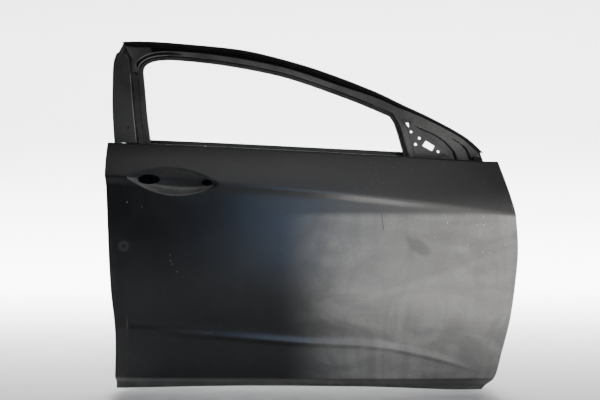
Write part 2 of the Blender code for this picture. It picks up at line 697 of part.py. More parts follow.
def frame_section(k, profile, stations=STATIONS):
    """Return the frame's points at the k-th station: profile holds (side, distance from it, depth)."""
    window = Vector(stations[k][0])
    outer = Vector(stations[k][1])
    run = (outer - window).normalized()
    from_window = square_share([pair[0] for pair in stations], k, run)
    from_outer = square_share([pair[1] for pair in stations], k, run)
    points = []
    for side, distance, depth in profile:
        if side == "window":
            place = window + run * (distance * from_window)
        else:
            place = outer - run * (distance * from_outer)
        points.append(frame_point(place.x, place.y, depth))
    return points


def spread(part, start, end):
    """Return 0 up to start, 1 from end on, and the share between them."""
    return min(max((part - start) / (end - start), 0.0), 1.0)


def inner_frame_profile(k):
    """Return the cabin-side stamping's section: window lip, channel seat, box and weld flange."""
    on_pillar = 1 - spread(k, PILLAR_SPANS, HEADER_START)
    lip = mix(LIP_WIDTH, PILLAR_LIP_WIDTH, on_pillar)
    channel = lip + 0.002 + mix(CHANNEL_WIDTH - 0.002, PILLAR_CHANNEL_WIDTH - 0.002, on_pillar)
    return (
        ("window", 0.0, LIP_DEPTH),
        ("window", lip, LIP_DEPTH),
        ("window", lip + 0.002, CHANNEL_FLOOR),
        ("window", channel, CHANNEL_FLOOR),
        ("window", channel + 0.002, BOX_DEPTH),
        ("outer", INNER_FLANGE + 0.002, BOX_DEPTH),
        ("outer", INNER_FLANGE, FLANGE_DEPTH + SEAT),
        ("outer", FLANGE_MARGIN, FLANGE_DEPTH + SEAT),
    )


def leg_rows(legs, section, shaped):
    """Return rows for a leg inside the door: shaped ones keep the frame's section, the rest lie on the wall."""
    start, end = section[0], section[-1]
    shares = [(point.x - start.x) / (end.x - start.x) for point in section]
    seat = CABIN_WALL - INNER_SHEET - GAP - FRAME_SHEET
    rows = []
    for k, (window, outer) in enumerate(legs):
        row = []
        for share, point in zip(shares, section):
            x = mix(window[0], outer[0], share)
            z = mix(window[1], outer[1], share)
            depth = point.y - frame_y(point.x, point.z)
            row.append(frame_point(x, z, depth) if k == shaped else Vector((x, seat, z)))
        rows.append(row)
    return rows


def make_window_frame_inner():
    """Cabin-side stamping of the window frame, with a leg inside the door at each end."""
    ring = [frame_section(k, inner_frame_profile(k)) for k in range(len(STATIONS))]
    rear = leg_rows(REAR_LEG, ring[0], 2)
    front = leg_rows(FRONT_LEG, ring[-1], 0)
    return sheet("window_frame_inner", [rear + ring + front], FRAME_SHEET, PRIMED, (0, -1, 0))


def outer_frame_profile(k):
    """Return the outside stamping's section: band, the sail's groove, step and weld flange."""
    in_sail = spread(k, SAIL_START - 1, SAIL_START + 2)
    toward_belt = spread(k, SAIL_START, SAIL_START + SAIL_SPANS)
    on_corner = k < OUTER_FRAME_START
    flange_depth = FLANGE_DEPTH - (CORNER_RELIEF if on_corner else 0.0006)
    near = 0.044 + 0.010 * toward_belt
    far = 0.050 + 0.022 * toward_belt
    groove = GROOVE_DEPTH * in_sail
    if in_sail > 0:
        hollow = [("outer", far, 0.0), ("outer", far - 0.002, groove), ("outer", near + 0.002, groove)]
        hollow.append(("outer", near, 0.0))
        step_side, face_end, step_foot = "outer", SAIL_RAIL_WIDTH + 0.0035, SAIL_RAIL_WIDTH + 0.0020
    else:
        step_side, face_end, step_foot = "window", CHANNEL_BACK + 0.0025, CHANNEL_BACK + 0.0040
        hollow = [("window", BAND_EDGE + 0.002 * j, 0.0) for j in (1, 2, 3, 4)]
    return (
        ("window", BAND_EDGE - 0.0015, 0.0015),
        ("window", BAND_EDGE, 0.0),
        *hollow,
        (step_side, face_end, 0.0),
        (step_side, step_foot, flange_depth),
        ("outer", FLANGE_MARGIN, flange_depth if on_corner else FLANGE_DEPTH),
    )


def make_window_frame_outer():
    """Outside stamping of the header and of the sail ahead of the window."""
    stations = list(CORNER_START) + STATIONS[OUTER_FRAME_START:]
    first = OUTER_FRAME_START - len(CORNER_START)
    ring = [frame_section(k, outer_frame_profile(first + k), stations) for k in range(len(stations))]
    foot = []
    for point in ring[-1]:
        x = point.x - FRONT_CHANNEL_RAKE * SAIL_FOOT_DROP
        foot.append(frame_point(x, point.z - SAIL_FOOT_DROP, point.y - frame_y(point.x, point.z)))
    frame = sheet("window_frame_outer", [ring + [foot]], FRAME_SHEET, PRIMED, (0, -1, 0))
    return frame


def make_header_rail():
    """Seal rail along the top edge, from the rear end of the header to the nose of the sail."""
    seat = FLANGE_DEPTH - SEAT
    rows = []
    for k in range(OUTER_FRAME_START, len(STATIONS)):
        width = mix(RAIL_WIDTH, SAIL_RAIL_WIDTH, spread(k, HEADER_START, SAIL_START))
        rows.append(frame_section(k, (
            ("outer", -RAIL_REACH, 0.009),
            ("outer", 0.0012 - RAIL_REACH, 0.007),
            ("outer", 0.0060, 0.007),
            ("outer", 0.0072, seat),
            ("outer", width - 0.0015, seat),
            ("outer", width, seat - 0.0025),
        )))
    return sheet("header_seal_rail", [rows], FRAME_SHEET, PRIMED, (0, -1, 0))


def make_header_glass_channel():
    """Glass channel under the header, open to the window."""
    floor = CHANNEL_FLOOR - GAP * STEEP
    rows = []
    for k in range(PILLAR_SPANS + 1, SAIL_START):
        rows.append(frame_section(k, (
            ("window", BAND_EDGE + 0.0015, 0.0019),
            ("window", CHANNEL_BACK - 0.0005, 0.0019),
            ("window", CHANNEL_BACK + 0.0005, floor),
            ("window", LIP_WIDTH + 0.003, floor),
        )))
    return sheet("header_glass_channel", [rows], CHANNEL_SHEET, PRIMED, (0, 1, 0))


def pillar_window_x(z):
    """Return the x of the window's rear edge at height z, carried on down inside the door."""
    foot = PILLAR_WINDOW[0]
    if z < foot[1]:
        return foot[0] + REAR_CHANNEL_RAKE * (z - foot[1])
    return smooth_line([(point[1], point[0]) for point in PILLAR_WINDOW])(z)


def sail_window_x(z):
    """Return the x of the window's front edge at height z, carried on down inside the door."""
    foot = SAIL_WINDOW[-1]
    if z < foot[1]:
        return foot[0] + FRONT_CHANNEL_RAKE * (z - foot[1])
    return smooth_line([(point[1], point[0]) for point in reversed(SAIL_WINDOW)])(z)


def make_rear_glass_channel():
    """Rear glass channel: a ribbed trough on the pillar that runs on down inside the door."""
    floor = CHANNEL_FLOOR - (CHANNEL_SHEET + GAP) * STEEP
    start = PILLAR_LIP_WIDTH + 0.0030
    section = (
        (start, 0.004), (start + 0.001, floor), (start + 0.0055, floor), (start + 0.0065, floor - RIB),
        (start + 0.0085, floor - RIB), (start + 0.0095, floor), (start + 0.0140, floor),
        (start + 0.0150, floor - RIB), (start + 0.0170, floor - RIB), (start + 0.0180, floor),
        (start + 0.0220, floor), (start + 0.0230, 0.004),
    )
    rows = []
    for k in range(13):
        z = mix(REAR_CHANNEL_TOP, REAR_CHANNEL_FOOT, k / 12)
        rows.append([frame_point(pillar_window_x(z) - across, z, depth) for across, depth in section])
    return sheet("rear_glass_channel", [rows], CHANNEL_SHEET, PRIMED, (0, -1, 0))


def make_front_glass_channel():
    """Front glass channel: a trough open to the rear, from the sail down inside the door."""
    floor = CHANNEL_FLOOR - GAP * STEEP
    section = ((0.0095, 0.0019), (0.0115, 0.0019), (0.0120, floor), (0.0015, floor))
    rows = []
    for k in range(9):
        z = mix(SAIL_WINDOW[1][1], FRONT_CHANNEL_FOOT, k / 8)
        rows.append([frame_point(sail_window_x(z) + across, z, depth) for across, depth in section])
    return sheet("front_glass_channel", [rows], CHANNEL_SHEET, PRIMED, (0, 1, 0))


def make_rear_pillar_plate():
    """Flat outside plate of the rear pillar, folded back along both edges."""
    seat = FLANGE_DEPTH - 0.0003
    rows = []
    for inner, outer in zip(path_points(PILLAR_PLATE_INNER, 7), path_points(PILLAR_PLATE_OUTER, 7)):
        inner, outer = Vector(inner), Vector(outer)
        run = (outer - inner).normalized()
        section = (
            (inner, 0.0, seat), (inner, 0.0006, 0.001), (inner, 0.0020, 0.0),
            (outer, -0.0020, 0.0), (outer, -0.0006, 0.001), (outer, -0.0004, seat), (outer, -0.012, seat),
        )
        places = [(edge + run * shift, depth) for edge, shift, depth in section]
        rows.append([frame_point(place.x, place.y, depth) for place, depth in places])
    return sheet("rear_pillar_plate", [rows], FRAME_SHEET, PRIMED, (0, -1, 0))


def cut_frame_holes(frame_sheet, channel, plate):
    """Cut the small round hole of each of the three sheets of the rear pillar."""
    for item, (x, z, radius) in ((frame_sheet, CORNER_HOLE), (channel, CHANNEL_HOLE), (plate, PLATE_HOLE)):
        y = frame_y(x, z)
        cut(item, f"{item.name}_small_hole", circle(radius, 10), along_y(x, z), (y - 0.002, y + BOX_DEPTH))


def frame_plane(x, z):
    """Return y of the plane that touches the sail's outer face at the middle of the mirror plate."""
    at_x, at_z = MIRROR_PLATE_AT
    step = 0.001
    lean_x = (frame_y(at_x + step, at_z) - frame_y(at_x - step, at_z)) / (2 * step)
    lean_z = (frame_y(at_x, at_z + step) - frame_y(at_x, at_z - step)) / (2 * step)
    return frame_y(at_x, at_z) + lean_x * (x - at_x) + lean_z * (z - at_z)


def on_plane(x, z):
    """Return a place for outlines on the mirror plate, raised along Y."""
    return lambda u, v, w: Vector((x + u, frame_plane(x + u, z + v) + w, z + v))


def make_mirror_plate(frame_sheets):
    """Flat mirror plate on the sail, over an opening through both frame stampings, with two weld nuts."""
    plate = prism("mirror_plate", MIRROR_PLATE, on_plane(0, 0), (-GAP - BRACKET_SHEET, -GAP))
    through = (-0.01, 0.01)
    for k, (x, z, radius) in enumerate(MIRROR_BOLT_HOLES + MIRROR_PLAIN_HOLES, 1):
        cut(plate, f"mirror_hole_{k}", circle(radius, 10), on_plane(x, z), through)
    for name, outline in (("mirror_notch", MIRROR_NOTCH), ("mirror_slot", MIRROR_SLOT)):
        cut(plate, name, outline, on_plane(0, 0), through)
    for k, frame_sheet in enumerate(frame_sheets, 1):
        cut(frame_sheet, f"mirror_opening_{k}", MIRROR_OPENING, on_plane(0, 0), (-0.03, 0.06))
    for k, (x, z, _) in enumerate(MIRROR_BOLT_HOLES, 1):
        nut = prism(f"mirror_nut_{k}", circle(NUT_RADIUS, 6), on_plane(x, z), (0.0, NUT_HEIGHT), PLATED)
        cut(nut, f"mirror_nut_bore_{k}", circle(NUT_BORE, 10), on_plane(x, z), through)


def make_outer_belt_reinforcement():
    """Pressed strip behind the skin's belt edge, with two hollow ribs along it."""
    rows = []
    for nominal in COLUMNS[1:-1]:
        row = []
        for drop, depth in OUTER_BELT_SECTION:
            z = belt_line(nominal) - drop
            row.append(skin_point(between_edges(nominal, z), z, depth))
        rows.append(row)
    return sheet("outer_belt_reinforcement", [rows], BRACKET_SHEET, PRIMED_INSIDE, (0, -1, 0))


def make_inner_belt_reinforcement():
    """Hat-section rail along the top of the cabin-side wall."""
    seat = CABIN_WALL - INNER_SHEET - GAP
    rear, front = INNER_BELT_ENDS
    rows = []
    for k in range(INNER_BELT_SPANS + 1):
        x = mix(rear, front, k / INNER_BELT_SPANS)
        depths = (seat, seat, INNER_BELT_HAT, INNER_BELT_HAT, seat, seat)
        rows.append([Vector((x, y, belt_line(x) + rise)) for rise, y in zip(INNER_BELT_HEIGHTS, depths)])
    return sheet("inner_belt_reinforcement", [rows], BRACKET_SHEET, PRIMED_INSIDE, (0, 1, 0))


def beam_centre(x):
    """Return the middle of the side-impact beam at x."""
    share = (x - BEAM_REAR_X) / (BEAM_FRONT_X - BEAM_REAR_X)
    return Vector((x, OUTERMOST + plan_depth(x) + BEAM_DEPTH, mix(BEAM_REAR_Z, BEAM_FRONT_Z, share)))


def make_impact_beam():
    """Side-impact beam: a steel tube along the door, open at both ends."""
    mesh_data = bmesh.new()
    rings = []
    for radius in (BEAM_RADIUS, BEAM_RADIUS - BEAM_WALL):
        for k in range(BEAM_SPANS + 1):
            centre = beam_centre(mix(BEAM_REAR_X, BEAM_FRONT_X, k / BEAM_SPANS))
            ring = [centre + Vector((0, u, v)) for u, v in circle(radius, BEAM_SIDES)]
            rings.append([mesh_data.verts.new(point) for point in ring])
    count = BEAM_SPANS + 1
    joined = [(k, k + 1) for k in range(BEAM_SPANS)] + [(count + k, count + k + 1) for k in range(BEAM_SPANS)]
    joined += [(0, count), (count - 1, 2 * count - 1)]
    for first, second in joined:
        for side in range(BEAM_SIDES):
            after = (side + 1) % BEAM_SIDES
            mesh_data.faces.new((
                rings[first][side], rings[first][after], rings[second][after], rings[second][side]
            ))
    bmesh.ops.recalc_face_normals(mesh_data, faces=mesh_data.faces)
    beam = new_object("impact_beam", mesh_data, PRIMED_INSIDE)
    beam.data.shade_smooth()
    beam.data.set_sharp_from_angle(angle=math.radians(45))
    return beam


def make_beam_bracket(name, end_x, wall_x):
    """Saddle round the cabin side of the beam's end, with a flange turned on to the shut face.

    wall_x(z) is the flange's x.
    """
    reach = BEAM_RADIUS + 1.5 * GAP
    bend = [(u, v) for u, v in circle(reach, BEAM_SIDES) if u > 0]
    bend.sort(key=lambda corner: -corner[1])
    top = bend[0][1]
    section = [(0.0, top + SADDLE_FLAT), (0.0, top), *bend, (0.0, -top), (0.0, -top - SADDLE_FLAT)]
    rows = []
    for x in (end_x, mix(end_x, wall_x(beam_centre(end_x).z), 0.5)):
        centre = beam_centre(x)
        rows.append([centre + Vector((0, u, v)) for u, v in section])
    centre = beam_centre(wall_x(rows[0][0].z))
    rows.append([Vector((wall_x(centre.z + v), centre.y + u, centre.z + v)) for u, v in section])
    flange_y = centre.y + reach + SADDLE_FLANGE
    rows.append([Vector((point.x, flange_y, point.z)) for point in rows[-1]])
    return sheet(name, [rows], BRACKET_SHEET, PRIMED_INSIDE, (0, -1, 0))


def latch_wall_x(z):
    """Return x of the latch shut face's inner side, less the clearance, at height z."""
    return LATCH_FACE + LATCH_FACE_RAKE * z + INNER_SHEET + GAP


def hinge_wall_x(z):
    """Return x of the hinge shut face's inner side, less the clearance, which is the same at every z."""
    return HINGE_FACE - INNER_SHEET - GAP


def on_latch_wall(y, z):
    """Return a place for outlines on the raked latch shut face, raised along X."""
    return lambda u, v, w: Vector((latch_wall_x(z + v) + w, y + u, z + v))


def make_hinge_mounts(name, z, panel):
    """Folded plate and tapping plate behind one hinge pad, with the bolt holes through panel and plates."""
    face = hinge_wall_x(z)
    outboard, inboard = SHUT_PLATE
    rows = []
    for rise in (-HINGE_PLATE_HALF, HINGE_PLATE_HALF):
        rows.append([
            Vector((face - HINGE_PLATE_RETURN, outboard, z + rise)), Vector((face, outboard, z + rise)),
            Vector((face, inboard, z + rise)), Vector((face - HINGE_PLATE_RETURN, inboard, z + rise)),
        ])
    plate = sheet(f"{name}_hinge_reinforcement", [rows], HINGE_PLATE, PRIMED_INSIDE, (1, 0, 0))
    width, height = TAPPING_PLATE_SIZE
    back = face - HINGE_PLATE - GAP
    outline = rounded_box(width, height, 0.003, 1)
    tapping = prism(f"{name}_hinge_tapping_plate", outline, along_x(0, z), (back - TAPPING_PLATE, back), PLATED)
    for item, radius in ((panel, PANEL_BOLT_HOLE), (plate, HINGE_BOLT_HOLE), (tapping, TAPPED_HOLE)):
        for end, side in (("high", 0.5), ("low", -0.5)):
            hole = f"{item.name}_{name}_{end}_bolt"
            at = along_x(0, z + side * HINGE_BOLT_SPACING)
            cut(item, hole, circle(radius, 10), at, (back - 2 * TAPPING_PLATE, 0.01))


def make_check_arm_reinforcement(panel):
    """Plate behind the door check's slot in the hinge shut face."""
    outboard, inboard = SHUT_PLATE
    width = inboard - outboard
    face = hinge_wall_x(CHECK_ARM_Z)
    place = along_x((inboard + outboard) / 2, CHECK_ARM_Z)
    outline = rounded_box(width, 2 * CHECK_PLATE_HALF, 0.006, 2)
    plate = prism("check_arm_reinforcement", outline, place, (face - BRACKET_SHEET, face))
    for item in (panel, plate):
        cut(item, f"{item.name}_check_slot", rounded_box(*CHECK_ARM_SLOT, 0.004, 2), place, (-0.01, 0.01))
    return plate


def make_latch_reinforcement(panel):
    """Plate behind the latch opening in the rear shut face."""
    outboard, inboard = SHUT_PLATE
    middle = (inboard + outboard) / 2
    outline = rounded_box(inboard - outboard, 2 * LATCH_PLATE_HALF, 0.006, 2)
    plate = prism("latch_reinforcement", outline, on_latch_wall(middle, LATCH_Z), (0.0, BRACKET_SHEET))
    for item in (panel, plate):
        opening = rounded_box(*LATCH_OPENING, 0.006, 2)
        cut(item, f"{item.name}_latch_opening", opening, on_latch_wall(middle, LATCH_Z), (-0.01, 0.01))
        for k, (across, rise) in enumerate(LATCH_SCREWS, 1):
            place = on_latch_wall(middle + across, LATCH_Z + rise)
            cut(item, f"{item.name}_latch_screw_{k}", circle(LATCH_SCREW_HOLE, 8), place, (-0.01, 0.01))
    return plate


def make_handle_reinforcement():
    """Doubler behind the floor of the handle recess, with the same two holes."""
    lens_start = COLUMNS.index(RECESS_REAR)
    first, last = HANDLE_PLATE_ENDS
    depth = SKIN_SHEET + 3 * GAP
    lens = COLUMNS[lens_start + first:lens_start + last + 1]
    rows = [[recess_point(x, part, depth) for part in HANDLE_PLATE_ROWS] for x in lens]
    plate = sheet("handle_reinforcement", [rows], SKIN_SHEET, PRIMED_INSIDE, (0, -1, 0))
    x, z, outline = recess_hole(HANDLE_HOLE, 0.002)
    cut(plate, "handle_plate_hole", outline, along_y(x, z), (OUTERMOST, OUTERMOST + 0.06))
    return plate


def make_mastic_pads():
    """Soft pads that join the beam to the skin and keep it from drumming."""
    for k, x in enumerate(PAD_PLACES, 1):
        mesh_data = bmesh.new()
        near, far = [], []
        for across in (-PAD_LENGTH / 2, PAD_LENGTH / 2):
            centre = beam_centre(x + across)
            for rise in (-PAD_HEIGHT / 2, 0.0, PAD_HEIGHT / 2):
                z = centre.z + rise
                near.append(mesh_data.verts.new(skin_point(x + across, z, SKIN_SHEET + 2 * GAP)))
                far.append(mesh_data.verts.new((x + across, centre.y - BEAM_RADIUS - GAP, z)))
        for grid in (near, far):
            mesh_data.faces.new((grid[0], grid[1], grid[4], grid[3]))
            mesh_data.faces.new((grid[1], grid[2], grid[5], grid[4]))
        border = (0, 1, 2, 5, 4, 3)
        for start, end in zip(border, border[1:] + border[:1]):
            mesh_data.faces.new((near[start], near[end], far[end], far[start]))
        bmesh.ops.recalc_face_normals(mesh_data, faces=mesh_data.faces)
        new_object(f"beam_mastic_pad_{k}", mesh_data, SOFT)


def make_front_belt_bracket():
    """Stepped bracket between the skin's belt flange and the foot of the sail."""
    rows = []
    for x in BELT_BRACKET:
        z = belt_line(x) + 0.0012 + GAP
        near = skin_point(x, belt_line(x)).y
        top = z + BELT_BRACKET_RISE
        rows.append([
            Vector((x, near + 0.0035, z)), Vector((x, near + 0.0085, z)),
            Vector((x, near + 0.0085, top)), Vector((x, frame_y(x, top) - 2 * GAP, top)),
        ])
    return sheet("front_belt_bracket", [rows], SKIN_SHEET, PRIMED, (0, 0, -1))


def make_channel_bracket(name, z, channel_x, seat):
    """Bracket from a glass channel's back, at channel_x and depth seat, to the cabin-side wall."""
    wall = CABIN_WALL - PANEL_STEP - INNER_SHEET - GAP
    rows = []
    for rise in (-CHANNEL_BRACKET_WIDTH / 2, CHANNEL_BRACKET_WIDTH / 2):
        edge = channel_x(z + rise)
        web = edge + CHANNEL_BRACKET_FOOT
        rows.append([
            frame_point(edge, z + rise, seat), frame_point(web, z + rise, seat),
            Vector((web, wall, z + rise)), Vector((edge, wall, z + rise)),
        ])
    return sheet(name, [rows], BRACKET_SHEET, PRIMED_INSIDE, (1, 0, 0))


def build_door():
    """Make every piece of the door shell."""
    for item in list(bpy.data.objects):
        bpy.data.objects.remove(item, do_unlink=True)
    make_outer_skin()
    panel = make_inner_panel()
    frame_sheets = (make_window_frame_inner(), make_window_frame_outer())
    make_header_rail()
    make_header_glass_channel()
    channel = make_rear_glass_channel()
    make_front_glass_channel()
    plate = make_rear_pillar_plate()
    cut_frame_holes(frame_sheets[0], channel, plate)
    make_mirror_plate(frame_sheets)
    make_outer_belt_reinforcement()
    make_inner_belt_reinforcement()
    make_impact_beam()
    make_beam_bracket("rear_beam_bracket", BEAM_REAR_X + SADDLE_LENGTH, latch_wall_x)
    make_beam_bracket("front_beam_bracket", BEAM_FRONT_X - SADDLE_LENGTH, hinge_wall_x)
    make_hinge_mounts("upper", 0.0, panel)
    make_hinge_mounts("lower", -HINGE_SPACING, panel)
    make_check_arm_reinforcement(panel)
    make_latch_reinforcement(panel)
    make_handle_reinforcement()
    make_mastic_pads()
    make_front_belt_bracket()
    make_channel_bracket(
        "rear_channel_bracket", REAR_CHANNEL_BRACKET_Z, lambda z: pillar_window_x(z) - 0.034,
        CHANNEL_FLOOR + GAP,
    )
    make_channel_bracket(
        "front_channel_bracket", FRONT_CHANNEL_BRACKET_Z, lambda z: sail_window_x(z) + 0.0015,
        CHANNEL_FLOOR + GAP,
    )


build_door()
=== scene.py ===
"""The look of the bare car door shell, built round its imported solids."""
import math

import bpy
import numpy as np
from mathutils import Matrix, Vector


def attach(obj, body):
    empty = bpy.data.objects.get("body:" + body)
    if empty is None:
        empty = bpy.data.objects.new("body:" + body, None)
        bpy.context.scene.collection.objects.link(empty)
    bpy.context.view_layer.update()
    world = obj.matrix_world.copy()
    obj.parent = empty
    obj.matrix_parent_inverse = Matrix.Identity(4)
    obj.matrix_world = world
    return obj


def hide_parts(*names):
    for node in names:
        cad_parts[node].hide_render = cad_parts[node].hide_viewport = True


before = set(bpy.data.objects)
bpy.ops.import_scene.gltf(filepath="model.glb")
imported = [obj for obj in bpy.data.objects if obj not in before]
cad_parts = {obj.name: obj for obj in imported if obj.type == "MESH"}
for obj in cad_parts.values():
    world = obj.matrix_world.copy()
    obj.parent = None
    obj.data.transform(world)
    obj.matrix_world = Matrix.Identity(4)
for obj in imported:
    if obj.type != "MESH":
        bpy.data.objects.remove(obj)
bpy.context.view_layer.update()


# Outer skin.
# One deep-drawn panel of 0.8 mm steel, dipped in black electrocoat primer and dulled by handling dust.
# It is glued and hemmed round the inner panel, and carries the handle recess in its shoulder crease.

def smooth_line(knots):
    """Return the smooth curve through (at, value) knots, as a function of an array."""
    at = np.array([knot[0] for knot in knots], dtype=float)
    values = np.array([knot[1] for knot in knots], dtype=float)
    slopes = np.gradient(values, at)
    slopes[1:-1] = (values[2:] - values[:-2]) / (at[2:] - at[:-2])

    def value(where):
        where = np.clip(where, at[0], at[-1])
        span = np.clip(np.searchsorted(at, where, side="right") - 1, 0, len(at) - 2)
        width = at[span + 1] - at[span]
        part = (where - at[span]) / width
        return (
            (2 * part**3 - 3 * part**2 + 1) * values[span]
            + (part**3 - 2 * part**2 + part) * slopes[span] * width
            + (3 * part**2 - 2 * part**3) * values[span + 1]
            + (part**3 - part**2) * slopes[span + 1] * width
        )
    return value


def mix(start, end, part):
    """Return what lies the given part of the way from start to end."""
    return start * (1 - part) + end * part


def ramp(value, start, end):
    """Return 0 before start, 1 after end and a soft rise between."""
    part = np.clip((value - start) / (end - start), 0.0, 1.0)
    return part * part * (3 - 2 * part)


belt_line = smooth_line(((-1.139, 0.169), (-0.865, 0.158), (-0.537, 0.142), (-0.221, 0.126), (0.009, 0.1125)))
shoulder_line = smooth_line(
    ((-1.134, 0.070), (-0.807, 0.0455), (-0.457, 0.018), (-0.229, -0.007), (0.045, -0.042))
)
ridge_line = smooth_line((
    (-1.107, -0.370), (-0.858, -0.388), (-0.566, -0.411), (-0.350, -0.423), (-0.180, -0.457), (-0.019, -0.509)
))
foot_line = smooth_line(((-1.107, -0.512), (-0.745, -0.511), (-0.226, -0.518), (-0.013, -0.520)))
bottom_line = smooth_line(((-1.110, -0.5505), (-0.747, -0.5415), (-0.339, -0.5440), (-0.040, -0.5545)))
rear_edge = smooth_line(
    ((-0.549, -1.110), (-0.393, -1.107), (-0.254, -1.118), (-0.046, -1.127), (0.070, -1.134), (0.169, -1.139))
)
front_edge = smooth_line((
    (-0.554, -0.0415), (-0.520, -0.0125), (-0.439, 0.010), (-0.347, 0.032), (-0.254, 0.046),
    (-0.145, 0.056), (-0.046, 0.050), (0.0, 0.0405), (0.069, 0.0225), (0.1125, 0.0110),
))
flank_line = smooth_line((
    (0.0, 0.0), (0.05, 0.0052), (0.13, 0.0046), (0.3, 0.0006), (0.6, 0.001), (0.85, 0.0085),
    (0.955, 0.0122), (1.0, 0.0095),
))
plain_line = smooth_line(((0.0, 0.0), (0.3, 0.0006), (0.6, 0.001), (0.85, 0.0056), (1.0, 0.0095)))
crease_fade = smooth_line(((-0.42, 1.0), (-0.14, 0.35), (0.05, 0.2)))
ridge_fade = smooth_line(((-1.120, 0.3), (-1.000, 1.0), (-0.180, 1.0), (-0.060, 0.0)))

outermost = -0.0798
steel = 0.0008
hem_gap = 0.0005
hem_radius = (3 * steel + 2 * hem_gap) / 2
recess_rear, recess_front = -1.069, -0.807
recess_up, recess_down, recess_depth = 0.036, 0.040, 0.022


def plan_depth(x):
    """Return how far the door's long curve has turned towards the cabin at x."""
    return (x + 0.545) ** 2 / 30


def recess_arch(x):
    """Return the recess's share of its full height at x, which is 0 at its ends and beyond."""
    part = (x - recess_rear) / (recess_front - recess_rear)
    return np.maximum(4 * part * (1 - part), 0.0)


def pressed_depth(x, z):
    """Return the depth of the pressed form, with sharp creases."""
    shoulder, ridge, foot = shoulder_line(x), ridge_line(x), foot_line(x)
    rise = (z - shoulder) / (belt_line(x) - shoulder)
    above = 0.036 * rise - 0.004 * 4 * rise * (1 - rise)
    drop = (shoulder - z) / (shoulder - ridge)
    pressed = mix(crease_fade(x), ridge_fade(x), np.clip((drop - 0.3) / 0.3, 0, 1))
    flank = mix(plain_line(drop), flank_line(drop), pressed)
    below = (ridge - z) / (ridge - foot)
    undercut = 0.003 * np.minimum((ridge - z) / 0.010, 1.0) * (1 - below)
    under = mix(0.0095, 0.014, below) + undercut * ridge_fade(x)
    turned = 0.014 + 0.016 * np.clip((foot - z) / 0.021, 0, 1)
    depth = np.where(z >= shoulder, above, np.where(z >= ridge, flank, np.where(z >= foot, under, turned)))
    arch = recess_arch(x)
    low, high = shoulder - recess_down * arch, shoulder + recess_up * arch
    across = np.clip((z - low) / np.maximum(high - low, 1e-6), 0, 1)
    bowl = arch**0.5 * (1 - np.abs(2 * across - 1) ** 2.0)
    return depth + recess_depth * bowl + plan_depth(x)


def soft_depth(x, z):
    """Return the depth with every crease rounded as a press tool rounds it."""
    total = np.zeros_like(x)
    weight = 0.0
    for reach, share in ((0.0, 2.0), (0.0016, 2.0), (0.0032, 1.0)):
        for k in range(8 if reach else 1):
            turn = math.tau * k / 8
            total += share * pressed_depth(x + reach * math.cos(turn), z + reach * math.sin(turn))
            weight += share
    return total / weight


def select_alone(*pieces):
    """Select the given pieces and nothing else, with the first one active."""
    bpy.ops.object.select_all(action="DESELECT")
    for piece in pieces:
        piece.select_set(True)
    if pieces:
        bpy.context.view_layer.objects.active = pieces[0]


def sheet_grid(name, points):
    """Add a flat grid and draw its points out to the given array of rows, columns and x, y, z."""
    rows, columns, _ = points.shape
    select_alone()
    bpy.ops.mesh.primitive_grid_add(
        x_subdivisions=columns - 1, y_subdivisions=rows - 1, size=1, calc_uvs=False
    )
    piece = bpy.context.object
    piece.name = piece.data.name = name
    piece.data.vertices.foreach_set("co", np.ascontiguousarray(points, dtype=np.float32).reshape(-1))
    return piece


def apply_modifier(piece, kind, **settings):
    """Give a piece a modifier with the given settings and apply it at once."""
    select_alone(piece)
    made = piece.modifiers.new(kind.title(), kind)
    for name, value in settings.items():
        setattr(made, name, value)
    bpy.ops.object.modifier_apply(modifier=made.name)


def edit_mesh(piece, *steps):
    """Take each step, an operator with its settings, on the whole mesh of a piece."""
    select_alone(piece)
    bpy.ops.object.mode_set(mode="EDIT")
    for operator, settings in steps:
        bpy.ops.mesh.select_all(action="SELECT")
        operator(**settings)
    bpy.ops.object.mode_set(mode="OBJECT")


def smooth(angle=40):
    """Shade the active piece smooth, but for folds sharper than the angle in degrees."""
    bpy.ops.object.shade_smooth_by_angle(angle=math.radians(angle))


def merge_within(distance):
    """Return the mesh step that merges points closer than the distance."""
    return bpy.ops.mesh.remove_doubles, {"threshold": distance}


face_outwards = bpy.ops.mesh.normals_make_consistent, {"inside": False}


def finish_sheet(piece, thickness, toward=None, smooth_angle=40):
    """Close a drawn sheet's seams, face it toward a direction if given, and thicken it behind."""
    edit_mesh(piece, merge_within(0.00002), face_outwards)
    if toward and sum(face.normal.dot(Vector(toward)) * face.area for face in piece.data.polygons) < 0:
        piece.data.flip_normals()
    apply_modifier(piece, "SOLIDIFY", thickness=thickness, offset=-1)
    smooth(smooth_angle)
    return piece


def punch(outline, reach):
    """Return a cutter: a closed outline of points, carried along the reach vector."""
    select_alone()
    bpy.ops.mesh.primitive_circle_add(vertices=len(outline), fill_type="NGON")
    tool = bpy.context.object
    tool.data.vertices.foreach_set("co", np.array(outline, dtype=np.float32).reshape(-1))
    extrude = bpy.ops.mesh.extrude_region_move, {"TRANSFORM_OT_translate": {"value": reach}}
    edit_mesh(tool, extrude, face_outwards)
    return tool


def cut_out(piece, tools):
    """Cut the given cutters out of a piece and throw them away."""
    select_alone(*tools)
    if len(tools) > 1:
        bpy.ops.object.join()
    apply_modifier(piece, "BOOLEAN", operation="DIFFERENCE", solver="EXACT", object=tools[0])
    bpy.data.objects.remove(tools[0], do_unlink=True)


def oval(length, height, sides=56):
    """Return the (across, up) points of an oval."""
    turns = [math.tau * k / sides for k in range(sides)]
    return [(length / 2 * math.cos(turn), height / 2 * math.sin(turn)) for turn in turns]


def around(x, y, z, outline):
    """Return the points of an (across, up) outline that faces the front, round a place."""
    return [(x + u, y, z + v) for u, v in outline]


